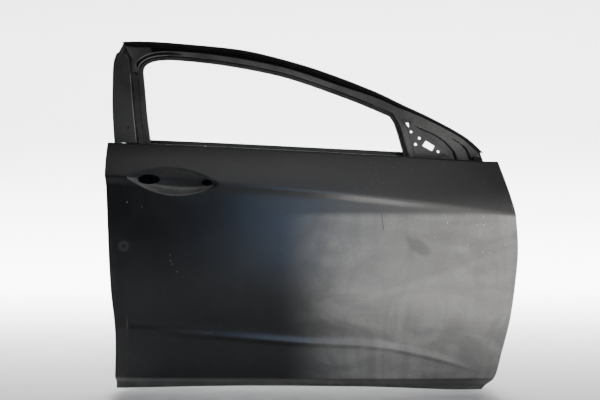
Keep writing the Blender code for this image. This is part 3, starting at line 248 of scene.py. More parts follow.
lens_columns = recess_rear + (recess_front - recess_rear) * (1 - np.cos(np.linspace(0, math.pi, 73))) / 2
columns = np.concatenate((
    np.linspace(-1.134, recess_rear, 11)[:-1], lens_columns, np.linspace(recess_front, 0.045, 105)[1:]
))
row_upper = np.linspace(0, 1, 26)
row_bowl = (1 - np.cos(np.linspace(0, math.pi, 31))) / 2
row_flank = np.concatenate((
    np.linspace(0, 0.12, 17), np.linspace(0.12, 0.88, 40)[1:], np.linspace(0.88, 1, 17)[1:]))
skin_inset = 0.0001
beside_recess = 0.030


def recess_top(x):
    """Return the height of the recess's upper edge, or the crease beyond its ends."""
    return shoulder_line(x) + recess_up * recess_arch(x)


def recess_foot(x):
    """Return the height of the recess's lower edge, or the crease beyond its ends."""
    return shoulder_line(x) - recess_down * recess_arch(x)


def fold_line(x):
    """Return the height at which the skin's foot turns into its hem."""
    return bottom_line(x) + hem_radius + skin_inset


def skin_patch(top, bottom, shares):
    """Return the points of a patch of the skin between two lines, at those shares of the way down."""
    nominal = columns[None, :]
    z = mix(top(nominal), bottom(nominal), shares[:, None])
    share = (nominal - columns[0]) / (columns[-1] - columns[0])
    spread = mix(rear_edge(z) + hem_radius + skin_inset, front_edge(z) - hem_radius - skin_inset, share)
    inside = (nominal >= recess_rear) & (nominal <= recess_front)
    near = ramp(nominal, recess_rear - beside_recess, recess_rear)
    near = near * (1 - ramp(nominal, recess_front, recess_front + beside_recess))
    x = np.where(inside, nominal + 0 * z, mix(spread, nominal + 0 * z, near))
    return np.stack([x, outermost + soft_depth(x, z), z], axis=-1)


patches = [skin_patch(*patch) for patch in (
    (belt_line, recess_top, row_upper), (recess_top, recess_foot, row_bowl),
    (recess_foot, ridge_line, row_flank), (ridge_line, foot_line, np.linspace(0, 1, 25)),
    (foot_line, fold_line, np.linspace(0, 1, 9)),
)]
face_rows = np.concatenate(patches[:1] + [patch[1:] for patch in patches[1:]])

# The belt edge turns in and down, in a small flange.
belt_turn = ((0.0110, -0.0100), (0.0110, -0.0030), (0.0100, 0.0006), (0.0085, 0.0012), (0.0030, 0.0012))
belt_turn += ((0.0012, 0.0009), (0.0004, 0.0004))
flange_rows = np.stack([face_rows[0] + np.array([0.0, inward, up]) for inward, up in belt_turn])
skin = sheet_grid("outer_skin_pressing", np.concatenate((flange_rows, face_rows)))
finish_sheet(skin, steel, (0, -1, 0))

# The hem folds round the rear, bottom and front edges, on to the back of the inner panel's flange.
# Rows that meet in one point at the crease count once there.
apart = np.append(True, np.linalg.norm(np.diff(face_rows[:, 0], axis=0), axis=1) > 0.0001)
rear_side = face_rows[apart, 0], face_rows[apart, 1]
foot_side = face_rows[-1], face_rows[-2]
front_side = face_rows[apart][::-1, -1], face_rows[apart][::-1, -2]


def unit(vectors):
    """Return the vectors at length one."""
    return vectors / np.linalg.norm(vectors, axis=-1, keepdims=True)


def edge_frame(edge, inner):
    """Return the outward and inboard directions along an edge, given the points beside it."""
    outward = unit(edge - inner)
    inward = np.cross(unit(np.gradient(edge, axis=0)), outward)
    return outward, unit(inward * np.sign(inward[:, 1:2]))


def hem_run(name, edge, inner):
    """Fold a hem along one edge and let it end short at both corners."""
    outward, inward = edge_frame(edge, inner)
    rows = []
    for turn in np.linspace(0, math.pi, 11):
        rows.append(edge + outward * hem_radius * math.sin(turn) + inward * hem_radius * (1 - math.cos(turn)))
    length = np.concatenate(([0], np.cumsum(np.linalg.norm(np.diff(edge, axis=0), axis=1))))
    room = np.minimum(length, length[-1] - length)
    rows.append(rows[-1] - outward * np.clip(room * 0.8, 0.0, 0.010)[:, None])
    return finish_sheet(sheet_grid(name, np.stack(rows)), steel, (0, 1, 0))


hem_pieces = [
    hem_run("skin_hem_" + name, *side)
    for name, side in (("rear", rear_side), ("bottom", foot_side), ("front", front_side))
]

# Two oval holes in the recess floor take the handle's foot and the latch rod.
handle_holes = []
for hole_x, rise, length, height in ((-1.010, -0.001, 0.062, 0.028), (-0.840, 0.0022, 0.032, 0.019)):
    hole_z = float(shoulder_line(hole_x)) + rise
    handle_holes.append(punch(around(hole_x, outermost, hole_z, oval(length, height)), (0, 0.06, 0)))
cut_out(skin, handle_holes)
select_alone(skin, *hem_pieces)
bpy.ops.object.join()
smooth()


def feed(node, inputs):
    """Feed a shader node's inputs from sockets or values."""
    for place, value in inputs.items():
        if isinstance(value, bpy.types.NodeSocket):
            node.id_data.links.new(value, node.inputs[place])
        else:
            node.inputs[place].default_value = value


def add(tree, kind, inputs=None, **settings):
    """Add a shader node with the given settings, and feed its inputs."""
    made = tree.nodes.new("ShaderNode" + kind)
    for name, value in settings.items():
        setattr(made, name, value)
    feed(made, inputs or {})
    return made


def maths(operation, *terms):
    """Return the result of a sum on sockets and values, in the tree of its first socket."""
    tree = next(term.id_data for term in terms if isinstance(term, bpy.types.NodeSocket))
    return add(tree, "Math", dict(enumerate(terms)), operation=operation).outputs[0]


def times(product, *factors):
    """Return the product of sockets and values, taken in turn."""
    for factor in factors:
        product = maths("MULTIPLY", product, factor)
    return product


def soft_step(value, start, end, low=0.0, high=1.0):
    """Return the soft rise of a socket from low at start to high at end."""
    inputs = {"Value": value, "From Min": start, "From Max": end, "To Min": low, "To Max": high}
    return add(value.id_data, "MapRange", inputs, interpolation_type="SMOOTHSTEP").outputs["Result"]


def blend(part, first, second):
    """Return the colour that lies the given part of the way from first to second."""
    inputs = {"Factor": part}
    for place, value in ((6, first), (7, second)):
        inputs[place] = value if isinstance(value, bpy.types.NodeSocket) else (*value, 1)
    return add(part.id_data, "Mix", inputs, data_type="RGBA").outputs[2]


def noise(place, scale, detail=3.0, stretch=(1, 1, 1), distortion=0.0):
    """Return the value of a noise pattern on the piece's own coordinates."""
    mapping = add(place.id_data, "Mapping", {"Vector": place, "Scale": stretch})
    inputs = {"Vector": mapping.outputs[0], "Scale": scale, "Detail": detail, "Distortion": distortion}
    return add(place.id_data, "TexNoise", inputs).outputs[0]


def new_group(name, inputs, outputs):
    """Return a new shader node group, its input sockets by name, and its output node."""
    tree = bpy.data.node_groups.new(name, "ShaderNodeTree")
    for title, kind, value in inputs:
        made = tree.interface.new_socket(name=title, in_out="INPUT", socket_type="NodeSocket" + kind)
        made.default_value = value
    for title, kind in outputs:
        tree.interface.new_socket(name=title, in_out="OUTPUT", socket_type="NodeSocket" + kind)
    return tree, tree.nodes.new("NodeGroupInput").outputs, tree.nodes.new("NodeGroupOutput")


def object_place(tree):
    """Return the socket that holds the piece's own coordinates."""
    return add(tree, "TexCoord").outputs["Object"]


# Dipped primer: fine orange peel, cloudy dulling, dust in it and a few settled specks.
primer_group, primer_in, primer_out = new_group(
    "primer_coat",
    [("Colour", "Color", (0.01, 0.01, 0.011, 1)), ("Dust", "Float", 0.05), ("Haze and painted light", "Float", 0.0),
     ("Gloss loss", "Float", 0.3)],
    [("Colour", "Color"), ("Roughness", "Float"), ("Height", "Float")],
)
place = object_place(primer_group)
clouds = noise(place, 7.0, 4.0, distortion=0.6)
grain = noise(place, 260.0, 3.0)
peel = noise(place, 620.0, 1.0)
cells = add(primer_group, "TexVoronoi", {"Vector": place, "Scale": 150.0}).outputs
cell_tone = add(primer_group, "SeparateColor", {"Color": cells["Color"]}).outputs[0]
fleck = times(maths("LESS_THAN", cells["Distance"], 0.10), maths("GREATER_THAN", cell_tone, 0.93))
dust = times(primer_in["Dust"], soft_step(clouds, 0.34, 0.66, 0.55, 1.35))
dust = times(dust, soft_step(grain, 0.30, 0.70, 0.75, 1.25))
haze_and_painted_light = times(primer_in["Haze and painted light"], soft_step(grain, 0.25, 0.75, 0.88, 1.12))
tone = blend(dust, primer_in["Colour"], (0.34, 0.335, 0.32))
tone = blend(haze_and_painted_light, tone, (0.40, 0.395, 0.38))
tone = blend(times(fleck, 0.35), tone, (0.40, 0.40, 0.38))
rough = maths("MULTIPLY_ADD", dust, 0.35, primer_in["Gloss loss"])
rough = maths("MULTIPLY_ADD", haze_and_painted_light, 0.30, rough)
rough = maths("ADD", rough, soft_step(clouds, 0.35, 0.65, -0.02, 0.03))
relief = maths("ADD", times(peel, 0.5), times(fleck, 0.6))
feed(primer_out, {"Colour": tone, "Roughness": rough, "Height": relief})

# Handling marks and painted light of the skin: haze over the front of the flank, smears, specks, a thin line
# and a smudge, with painted light on the up-facing floor of the handle recess and on the turned foot.
marks_group, _, marks_out = new_group(
    "handling_marks_and_painted_light", [], [("Haze and painted light", "Float"), ("Dark", "Float"), ("Light", "Float")]
)
place = object_place(marks_group)
across = add(marks_group, "SeparateXYZ", {"Vector": place}).outputs
along, up = across["X"], across["Z"]
under_crease = maths("MULTIPLY_ADD", along, -0.095, maths("SUBTRACT", -0.0377, up))
wander = noise(place, 2.0, 2.0, distortion=0.4)
haze_and_painted_light = times(
    soft_step(maths("MULTIPLY_ADD", wander, 0.08, along), -0.60, -0.34),
    soft_step(maths("MULTIPLY_ADD", wander, 0.012, up), -0.024, -0.046),
    soft_step(under_crease, -0.002, 0.008), soft_step(up, -0.520, -0.512),
)
# The turned foot below the bottom crease is painted lighter: painted light bounced up from the floor.
haze_and_painted_light = maths("MAXIMUM", haze_and_painted_light, soft_step(up, -0.514, -0.520, 0.0, 0.30))
# The up-facing lower slope of the handle recess is painted lighter: painted light where it faces the lamps.
normal = add(marks_group, "TexCoord").outputs["Normal"]
facing_up = soft_step(add(marks_group, "SeparateXYZ", {"Vector": normal}).outputs["Z"], 0.10, 0.45)
in_recess = times(soft_step(along, -0.815, -0.830), soft_step(up, 0.072, 0.062))
haze_and_painted_light = maths("MAXIMUM", haze_and_painted_light, times(facing_up, times(in_recess, 0.60)))
smears = noise(place, 4.0, 4.0, (1.0, 1.0, 2.6), 1.6)
wipes = noise(place, 5.0, 5.0, (1.6, 1.0, 0.8), 2.4)
haze_and_painted_light = times(haze_and_painted_light, soft_step(smears, 0.34, 0.66, 0.80, 1.16), soft_step(wipes, 0.36, 0.64, 0.84, 1.12))
line_off = maths("ABSOLUTE", maths("SUBTRACT", along, maths("MULTIPLY_ADD", up, -0.1045, -0.3423)))
thin_line = times(soft_step(line_off, 0.0004, 0.0018, 1.0, 0.0), soft_step(up, -0.092, -0.085))


def spot_distance(x, z, turn=0.0, squash=1.0):
    """Return the distance from a place on the skin, with a turn and a squash for ovals."""
    left, above = maths("SUBTRACT", along, x), maths("SUBTRACT", up, z)
    turned = maths("ADD", times(left, math.cos(turn)), times(above, math.sin(turn)))
    aside = times(maths("SUBTRACT", times(above, math.cos(turn)), times(left, math.sin(turn))), squash)
    return maths("SQRT", maths("ADD", times(turned, turned), times(aside, aside)))


stain_off = maths("MULTIPLY_ADD", wipes, 0.045, spot_distance(-0.232, -0.135, -0.62, 2.2))
stain = soft_step(stain_off, 0.052, 0.078, 0.55, 0.0)
smudge_off = maths("ABSOLUTE", maths("SUBTRACT", spot_distance(-1.078, -0.132), 0.011))
light = soft_step(maths("MULTIPLY_ADD", wander, 0.006, smudge_off), 0.002, 0.012, 0.05, 0.0)
for spot_x, spot_z, size in (
    (-1.069, -0.006, 0.0020), (-1.026, -0.019, 0.0014), (-0.943, -0.157, 0.0016), (-0.942, -0.174, 0.0020),
    (-0.937, -0.183, 0.0016), (-0.924, -0.205, 0.0014), (-0.045, -0.047, 0.0020), (-0.150, -0.065, 0.0024),
    (-0.065, -0.072, 0.0018), (-0.044, -0.072, 0.0022), (-0.186, -0.107, 0.0016), (-0.091, -0.129, 0.0018),
    (-0.048, -0.150, 0.0020), (-0.028, -0.151, 0.0016),
):
    spot = soft_step(spot_distance(spot_x, spot_z, 1.2, 2.0), size * 0.5, size, 0.85, 0.0)
    light = maths("MAXIMUM", light, spot)
feed(marks_out, {"Haze and painted light": haze_and_painted_light, "Dark": maths("MAXIMUM", times(thin_line, 0.8), stain), "Light": light})


def new_material(name, build):
    """Return a material whose shader inputs, relief and depth of relief come from build(tree)."""
    material = bpy.data.materials.new(name)
    material.use_nodes = True
    tree = material.node_tree
    inputs, relief, relief_depth = build(tree)
    bump = add(tree, "Bump", {"Height": relief, "Distance": relief_depth, "Strength": 0.5})
    feed(tree.nodes["Principled BSDF"], {**inputs, "Normal": bump.outputs["Normal"]})
    return material


def primed_material(name, colour, gloss_loss, dust_share, relief_depth=0.00006, marked=False, shine=0.5):
    """Return a primed steel material, with the skin's handling marks and painted light if marked."""
    def build(tree):
        inputs = {"Colour": (*colour, 1), "Dust": dust_share, "Gloss loss": gloss_loss}
        if marked:
            marks = add(tree, "Group", node_tree=marks_group).outputs
            inputs["Haze and painted light"] = times(marks["Haze and painted light"], skin_haze_and_painted_light)
        coat = add(tree, "Group", inputs, node_tree=primer_group).outputs
        tone = coat["Colour"]
        if marked:
            tone = blend(marks["Dark"], tone, (0.012, 0.012, 0.012))
            tone = blend(marks["Light"], tone, (0.62, 0.62, 0.60))
        look = {"Base Color": tone, "Roughness": coat["Roughness"], "Specular IOR Level": shine}
        return look, coat["Height"], relief_depth
    return new_material(name, build)


def stand_for(piece, node, material):
    """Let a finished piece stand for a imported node, in the given material."""
    piece.data.materials.clear()
    piece.data.materials.append(material)
    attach(piece, "root")
    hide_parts(node)


# This share scales the skin's haze together with the painted light on its foot and in the handle recess.
skin_haze_and_painted_light = 0.28
stand_for(skin, "outer_skin", primed_material(
    "black_electrocoat", (0.0035, 0.0035, 0.0040), 0.31, 0.005, marked=True))


# Window frame, cabin-side stamping.
# Pressed steel hoop that carries the glass channels and the seal, with a leg in the door at each end.
# It is welded along its outer flange and dipped with the rest of the door.

def path(knots, spans):
    """Return spans + 1 evenly spaced (x, z) points along the smooth curve through the knots."""
    knots = np.array(knots)
    along = np.concatenate(([0], np.cumsum(np.linalg.norm(np.diff(knots, axis=0), axis=1))))
    steps = np.linspace(0, along[-1], spans + 1)
    return np.stack([smooth_line(list(zip(along, knots[:, k])))(steps) for k in (0, 1)], axis=1)


def turn_path(knots, spans, soft=True):
    """Return points that pass the knots at even shares, on a smooth curve or on straight runs."""
    places = np.linspace(0, len(knots) - 1, spans + 1)
    if soft:
        return np.stack([smooth_line(list(enumerate(np.array(knots)[:, k])))(places) for k in (0, 1)], axis=1)
    return np.stack([np.interp(places, range(len(knots)), np.array(knots)[:, k]) for k in (0, 1)], axis=1)


def frame_face(x, z, depth=0.0):
    """Return the points at depth inboard of the window frame's outer face."""
    rise = z - 0.130
    y = outermost + 0.062 + plan_depth(x) + 0.28 * rise + np.where(rise > 0, 0.36, 0.50) * rise**2 + depth
    return np.stack([x, y, z], axis=-1)


def face_y(x, z):
    """Return how deep the frame's outer face lies at one place."""
    return float(frame_face(x, z)[1])


corner_window = (
    (-1.0765, 0.4100), (-1.0775, 0.4250), (-1.0710, 0.4395), (-1.0560, 0.4495), (-1.0335, 0.4556))
pillar_window = ((-1.0262, 0.1792), (-1.0461, 0.2665), (-1.0626, 0.3482), (-1.0765, 0.4100))
header_window = (
    (-1.0335, 0.4556), (-0.9896, 0.4567), (-0.8506, 0.4405), (-0.7132, 0.4140),
    (-0.6038, 0.3848), (-0.4161, 0.3119), (-0.2970, 0.2578),
)
sail_window = ((-0.2970, 0.2578), (-0.2841, 0.2337), (-0.2637, 0.1450))
corner_outer = ((-1.1652, 0.5262), (-1.1100, 0.5262), (-1.0600, 0.5240))
header_outer = (
    (-1.0600, 0.5240), (-1.0017, 0.5189), (-0.7678, 0.4894), (-0.6365, 0.4546),
    (-0.5084, 0.4103), (-0.3382, 0.3367), (-0.2550, 0.2920),
)
sail_outer = ((-0.1747, 0.2506), (-0.0725, 0.1885), (-0.0250, 0.1420))
pillar_spans, corner_spans, header_spans, sail_spans = 32, 24, 110, 70
window_line = np.concatenate((
    path(pillar_window, pillar_spans), turn_path(corner_window, corner_spans)[1:],
    path(header_window, header_spans)[1:], path(sail_window, sail_spans)[1:],
))
outer_line = np.concatenate((
    path(((-1.1365, 0.1858), (-1.1533, 0.2782), (-1.1657, 0.3580), (-1.1782, 0.4500)), pillar_spans),
    turn_path(((-1.1782, 0.4500), (-1.1740, 0.4930)) + corner_outer, corner_spans, soft=False)[1:],
    path(header_outer, header_spans)[1:], path(header_outer[-1:] + sail_outer, sail_spans)[1:],
))
ring = np.arange(len(window_line))
corner_at, header_at = pillar_spans, pillar_spans + corner_spans
sail_at = header_at + header_spans


def square_share(line, run):
    """Return how much longer a distance is along run than square to the line."""
    padded = np.concatenate((line[:1].repeat(3, axis=0), line, line[-1:].repeat(3, axis=0)))
    along = unit(padded[6:] - padded[:-6])
    return 1 / np.maximum(np.abs(run[:, 0] * along[:, 1] - run[:, 1] * along[:, 0]), 0.55)


def frame_sections(window, outer, from_window, from_outer=()):
    """Return rows of frame points, each (distance, depth) from the window and then from the outer edge."""
    run = unit(outer - window)
    points = []
    for line, toward, profile in ((window, run, from_window), (outer, -run, from_outer)):
        share = square_share(line, run)
        for distance, depth in profile:
            place = line + toward * (distance * share)[:, None]
            points.append(frame_face(place[:, 0], place[:, 1], depth))
    return np.stack(points, axis=1)


def round_folds(rows, radius, spans=4):
    """Return the rows with every fold between their columns rounded to a bend of about that radius."""
    points = [rows[:, 0]]
    for k in range(1, rows.shape[1] - 1):
        before, after = rows[:, k] - rows[:, k - 1], rows[:, k + 1] - rows[:, k]
        short = np.minimum(np.linalg.norm(before, axis=1), np.linalg.norm(after, axis=1))
        half = np.arccos(np.clip((unit(before) * unit(after)).sum(axis=1), -1, 1)) / 2
        setback = np.minimum(radius * np.tan(half) + 1e-5, 0.46 * short)[:, None]
        start, end = rows[:, k] - unit(before) * setback, rows[:, k] + unit(after) * setback
        for part in np.linspace(0, 1, spans + 1):
            points.append((1 - part) ** 2 * start + 2 * part * (1 - part) * rows[:, k] + part**2 * end)
    points.append(rows[:, -1])
    return np.stack(points, axis=1)


def pressed_strip(name, rows, thickness, toward, radius=0.0015):
    """Make a sheet from rows of section points, with rounded folds."""
    return finish_sheet(sheet_grid(name, round_folds(rows, radius)), thickness, toward)


def between_rows(rows, spans):
    """Return the rows with evenly spaced ones added, spans[k] steps from row k to the next."""
    gaps = zip(rows, rows[1:], spans)
    parts = [mix(start, end, k / count) for start, end, count in gaps for k in range(count)]
    return np.stack(parts + [rows[-1]])


steep = 1.2
outer_flange, glass_seat = 0.0125, 0.0132
cabin_wall, weld_gap = 0.045, 0.0003
seat = (steel + weld_gap) * steep
on_pillar = 1 - ramp(ring, corner_at, header_at)
lip = mix(0.008, 0.010, on_pillar)
box_start = lip + mix(0.019, 0.040, on_pillar)
inner_ring = frame_sections(window_line, outer_line, (
    (0.0, 0.015), (lip, 0.015), (lip + 0.002, glass_seat), (box_start, glass_seat),
    (box_start + 0.002, 0.030),
), ((0.016, 0.030), (0.014, outer_flange + seat), (0.002, outer_flange + seat)))


def leg(corners, section, shaped):
    """Return the rows of a leg inside the door, in the order of the corners given for it."""
    shares = (section[:, 0] - section[0, 0]) / (section[-1, 0] - section[0, 0])
    depth = section[:, 1] - frame_face(section[:, 0], section[:, 2])[:, 1]
    rows = []
    for k, (window, outer) in enumerate(corners):
        x, z = mix(window[0], outer[0], shares), mix(window[1], outer[1], shares)
        flat = np.stack([x, np.full_like(x, cabin_wall - weld_gap - 2 * steel), z], axis=1)
        rows.append(frame_face(x, z, depth) if k == shaped else flat)
    return np.stack(rows)


rear_leg = leg((((-1.020, 0.050), (-1.091, 0.050)), ((-1.020, 0.100), (-1.093, 0.100)),
                ((-1.025, 0.172), (-1.0985, 0.174))), inner_ring[0], 2)
front_leg = leg((((-0.262, 0.135), (-0.042, 0.128)), ((-0.250, 0.075), (-0.037, 0.070)),
                 ((-0.250, 0.030), (-0.037, 0.030))), inner_ring[-1], 0)
inner_frame = pressed_strip(
    "window_frame_cabin_side", np.concatenate((
        between_rows(np.concatenate((rear_leg, inner_ring[:1])), [6] * 3)[:-1], inner_ring,
        between_rows(np.concatenate((inner_ring[-1:], front_leg)), [6] * 3)[1:],
    )), steel, (0, -1, 0), 0.0018,
)
mirror_x, mirror_z = -0.190, 0.175


def plate_plane(x, z):
    """Return y of the plane that the mirror plate lies in."""
    lean_x = (face_y(mirror_x + 0.001, mirror_z) - face_y(mirror_x - 0.001, mirror_z)) / 0.002
    lean_z = (face_y(mirror_x, mirror_z + 0.001) - face_y(mirror_x, mirror_z - 0.001)) / 0.002
    return face_y(mirror_x, mirror_z) + lean_x * (x - mirror_x) + lean_z * (z - mirror_z)


def mirror_opening():
    """Return a cutter for the opening that the mirror plate covers."""
    outline = (
        (-0.2275, 0.1345), (-0.2420, 0.2160), (-0.2560, 0.2395), (-0.2340, 0.2395),
        (-0.2345, 0.2265), (-0.2030, 0.2030), (-0.1690, 0.1745), (-0.1370, 0.1345),
    )
    return punch([(x, plate_plane(x, z) - 0.03, z) for x, z in outline], (0, 0.09, 0))


def round_hole(x, z, radius):
    """Return a cutter for a small round hole through the frame."""
    return punch(around(x, face_y(x, z) - 0.002, z, oval(2 * radius, 2 * radius, 24)), (0, 0.036, 0))


def paint_faces(piece, choose, *materials):
    """Give faces the further materials that choose(x, z, depth behind the frame's face) numbers."""
    for material in materials:
        piece.data.materials.append(material)
    centres = np.empty(len(piece.data.polygons) * 3, dtype=np.float32)
    piece.data.polygons.foreach_get("center", centres)
    x, y, z = centres.reshape(-1, 3).astype(float).T
    chosen = choose(x, z, y - frame_face(x, z)[:, 1])
    piece.data.polygons.foreach_set("material_index", chosen.astype(np.int32))
    piece.data.update()


def add_painted_shade_plug(piece, x, z, radius, depth):
    """Join a black plug in the painted shade to the back of a piece, behind a small hole in it, so the hole
    shows shade.
    """
    shade_plug = punch(around(x, face_y(x, z) + depth, z, oval(3 * radius, 3 * radius, 24)), (0, 0.006, 0))
    piece.data.materials.append(painted_shade_black)
    shade_plug.data.materials.append(painted_shade_black)
    select_alone(piece, shade_plug)
    bpy.ops.object.join()


def black_coat(part, shade, blue, gloss_loss, dust_share, shine=0.5):
    """Return the black primer of one part: shade in red and green, and blue; some of these blacks are painted
    shade in slots and hollows.
    """
    colour = (shade, shade, blue)
    return primed_material("black_electrocoat_" + part, colour, gloss_loss, dust_share, shine=shine)


# Near-black for hollows, slot floors and the plugs behind small holes: painted shade, not a coat of its own.
painted_shade_black = black_coat("recess", 0.0025, 0.0028, 0.50, 0.004, 0.15)
# A light black for fold edges: edge wear, with a painted highlight along the folds.
worn_edge_with_painted_highlight = black_coat("worn_painted_highlight", 0.020, 0.021, 0.38, 0.480)
small_hole = -1.0967, 0.4033, 0.0030
cut_out(inner_frame, [mirror_opening(), round_hole(*small_hole)])
stand_for(inner_frame, "window_frame_inner", black_coat("frame", 0.009, 0.0095, 0.36, 0.080, 0.25))
add_painted_shade_plug(inner_frame, *small_hole, glass_seat + steel)


# Window frame, outside stamping.
# Pressed steel band of the header and the sail, welded on to the cabin-side stamping round its outer flange.
# The corner's glass run, the sail's long hollow and the short one at its nose are pressed into it.

band_corner, face_start, face_columns = 44, 0.0140, np.linspace(0, 1, 90)
band_window = np.concatenate((turn_path(corner_window, band_corner), window_line[header_at + 1:]))
band_outer = np.concatenate((
    turn_path(((-1.1140, 0.4110), (-1.1255, 0.4660)) + corner_outer, band_corner, soft=False),
    outer_line[header_at + 1:],
))
place_along = np.arange(len(band_window))
corner_part = np.clip(place_along / band_corner * 4, 0, 4)
header_part = np.clip((place_along - band_corner) / header_spans, 0, 1)
on_sail = ramp(header_part, 0.72, 1.0)
band_run = unit(band_outer - band_window)
band_width = np.linalg.norm(band_outer - band_window, axis=1) / square_share(band_window, band_run)
face_end = mix(0.0295, band_width - 0.0145, on_sail)
foot_depth = outer_flange - mix(0.0022, 0.0006, ramp(corner_part, 1.0, 2.0))
across = [(mix(face_start, face_end, part), 0.0) for part in face_columns]
face_x, _, face_z = np.moveaxis(frame_sections(band_window, band_outer, across), -1, 0)
from_window = face_columns[None, :] * (face_end - face_start)[:, None] + face_start

# The glass run of the rear corner narrows into the header.
run_width = 0.0175 + 0.0125 * ramp(corner_part, 0.1, 1.3) * (1 - ramp(header_part, 0.0, 0.16))
run_width = np.minimum(run_width, face_end - 0.001)[:, None]
pressed = 0.0060 * ramp(from_window, 0.0150, 0.0185) * (1 - ramp(from_window, run_width - 0.0030, run_width))
pressed *= ramp(run_width, 0.0180, 0.0230)

# The long hollow of the sail and the short one at its nose.
hollow_left = smooth_line(((0.100, -0.095), (0.1341, -0.1241), (0.1876, -0.1764), (0.2295, -0.2350)))(face_z)
hollow_right = smooth_line(
    ((0.100, -0.086), (0.1341, -0.1035), (0.1734, -0.1318), (0.2013, -0.1705), (0.2295, -0.2325)))(face_z)
inside = np.minimum(face_x - hollow_left, hollow_right - face_x)
hollow = 0.0100 * ramp(inside, 0.0, 0.0030) * (1 - ramp(face_z, 0.2255, 0.2300))
nose_middle = smooth_line(
    ((0.105, -0.058), (0.1289, -0.0655), (0.1565, -0.0775), (0.1798, -0.1045), (0.200, -0.136)))(face_z)
nose_half = mix(0.0028, 0.0012, ramp(face_z, 0.130, 0.185))
nose = 0.0065 * (1 - ramp(np.abs(face_x - nose_middle), nose_half * 0.6, nose_half * 1.5))
nose *= 1 - ramp(face_z, 0.178, 0.192)
on_face = header_part[:, None] > 0.9
face_points = frame_face(face_x, face_z, pressed + np.where(on_face, np.maximum(hollow, nose), 0.0))
edge_points = frame_sections(band_window, band_outer, ((0.0125, 0.0016), (0.0129, 0.0005)))
step_points = frame_sections(band_window, band_outer, (
    (face_end + 0.0005, 0.0008), (face_end + 0.0012, foot_depth - 0.0008), (face_end + 0.0020, foot_depth),
), ((0.002, mix(foot_depth, outer_flange, ramp(corner_part, 1, 2))),))
band_rows = np.concatenate((edge_points, face_points, step_points), axis=1)
foot_row = band_rows[-1]
foot_depths = foot_row[:, 1] - frame_face(foot_row[:, 0], foot_row[:, 2])[:, 1]
foot_steps = [
    frame_face(foot_row[:, 0] + 0.26 * drop, foot_row[:, 2] - drop, foot_depths)
    for drop in np.linspace(0.004, 0.026, 6)
]
band = sheet_grid("window_frame_outside", np.concatenate((band_rows, np.stack(foot_steps))))
finish_sheet(band, steel, (0, -1, 0), 50)
cut_out(band, [mirror_opening()])
stand_for(band, "window_frame_outer", black_coat("band", 0.009, 0.0095, 0.36, 0.125, 0.35))
header_line = smooth_line(corner_outer[:2] + header_outer + sail_outer)


def band_shade_and_highlight(x, z, depth):
    """Number the band's further materials: 1, painted shade, in hollows and beside the rail; 2, edge wear
    with a painted highlight, on the glass run's rims.
    """
    beside_rail = z > header_line(x) - 0.022 - 0.014 * ramp(x, -1.02, -0.86)
    painted_shade_faces = (depth > 0.0030) & ((depth < 0.0078) | beside_rail)
    highlight_rim = (x < -1.0) & (x > -1.09) & (z > 0.425) & (depth > 0.0001) & (depth < 0.0016)
    return np.where(painted_shade_faces, 1, np.where(highlight_rim, 2, 0))


paint_faces(band, band_shade_and_highlight, painted_shade_black, worn_edge_with_painted_highlight)


# Seal rail and glass channels.
# Roll-formed steel strips, spot welded to the frame. The rail holds the door seal along the top edge.
# The channels hold the glass run rubber, and the rear and front ones run on down inside the door.

rail_part = np.clip((ring - header_at) / header_spans, 0, 1)
rail_width = mix(0.018, 0.0105, rail_part)
rail_seat = outer_flange - seat
rail_rows = frame_sections(window_line, outer_line, (), (
    (-0.0045, 0.009), (-0.0033, 0.007), (0.0060, 0.007), (0.0072, rail_seat),
    (rail_width - 0.0015, rail_seat), (rail_width, rail_seat - 0.0025),
))[corner_at + corner_spans // 2:]
# The rail's near-black stands for the shade in its slot: painted shade.
rail_painted_shade_black = black_coat("rail", 0.003, 0.0033, 0.36, 0.006, 0.15)
seal_rail = pressed_strip("header_seal_rail_strip", rail_rows, steel, (0, -1, 0), 0.0010)
stand_for(seal_rail, "header_seal_rail", rail_painted_shade_black)

channel_sheet = 0.0007
channel_floor = glass_seat - weld_gap * steep
channel_rows = frame_sections(window_line, outer_line, (
    (0.0170, 0.0019), (0.0265, 0.0019), (0.0275, channel_floor), (0.0110, channel_floor),
))[corner_at + corner_spans // 4:sail_at - 8]
header_channel = pressed_strip("header_glass_channel_strip", channel_rows, channel_sheet, (0, 1, 0), 0.0012)
# The header channel's near-black is painted shade for its deep slot.
stand_for(header_channel, "header_glass_channel", black_coat("channel", 0.003, 0.0033, 0.40, 0.012, 0.20))


def carried_down(knots, slope):
    """Return the line x(z) through the knots, carried straight on inside the door below its low end."""
    line = smooth_line(sorted((z, x) for x, z in knots))
    low_z, low_x = min((z, x) for x, z in knots)
    return lambda z: np.where(z < low_z, low_x - slope * (z - low_z), line(z))


rear_line, front_line = carried_down(pillar_window, 0.228), carried_down(sail_window, 0.26)


def channel_strip(name, heights, line, side, section, toward):
    """Make a glass channel that runs down the door beside a line, from (across, depth) section points."""
    points = [frame_face(line(heights) + side * distance, heights, depth) for distance, depth in section]
    return pressed_strip(name, np.stack(points, axis=1), channel_sheet, toward, 0.0009)


deep, rib = glass_seat - 0.0010 * steep, 0.0018
rear_channel = channel_strip("rear_glass_channel_strip", np.linspace(0.385, -0.255, 97), rear_line, -1, (
    (0.013, 0.004), (0.014, deep), (0.0185, deep), (0.0195, deep - rib), (0.0215, deep - rib), (0.0225, deep),
    (0.027, deep), (0.028, deep - rib), (0.030, deep - rib), (0.031, deep), (0.035, deep), (0.036, 0.004),
), (0, -1, 0))
small_hole = -1.0565, 0.2260, 0.0025
cut_out(rear_channel, [round_hole(*small_hole)])
stand_for(rear_channel, "rear_glass_channel", black_coat("rear_channel", 0.009, 0.0095, 0.36, 0.060))
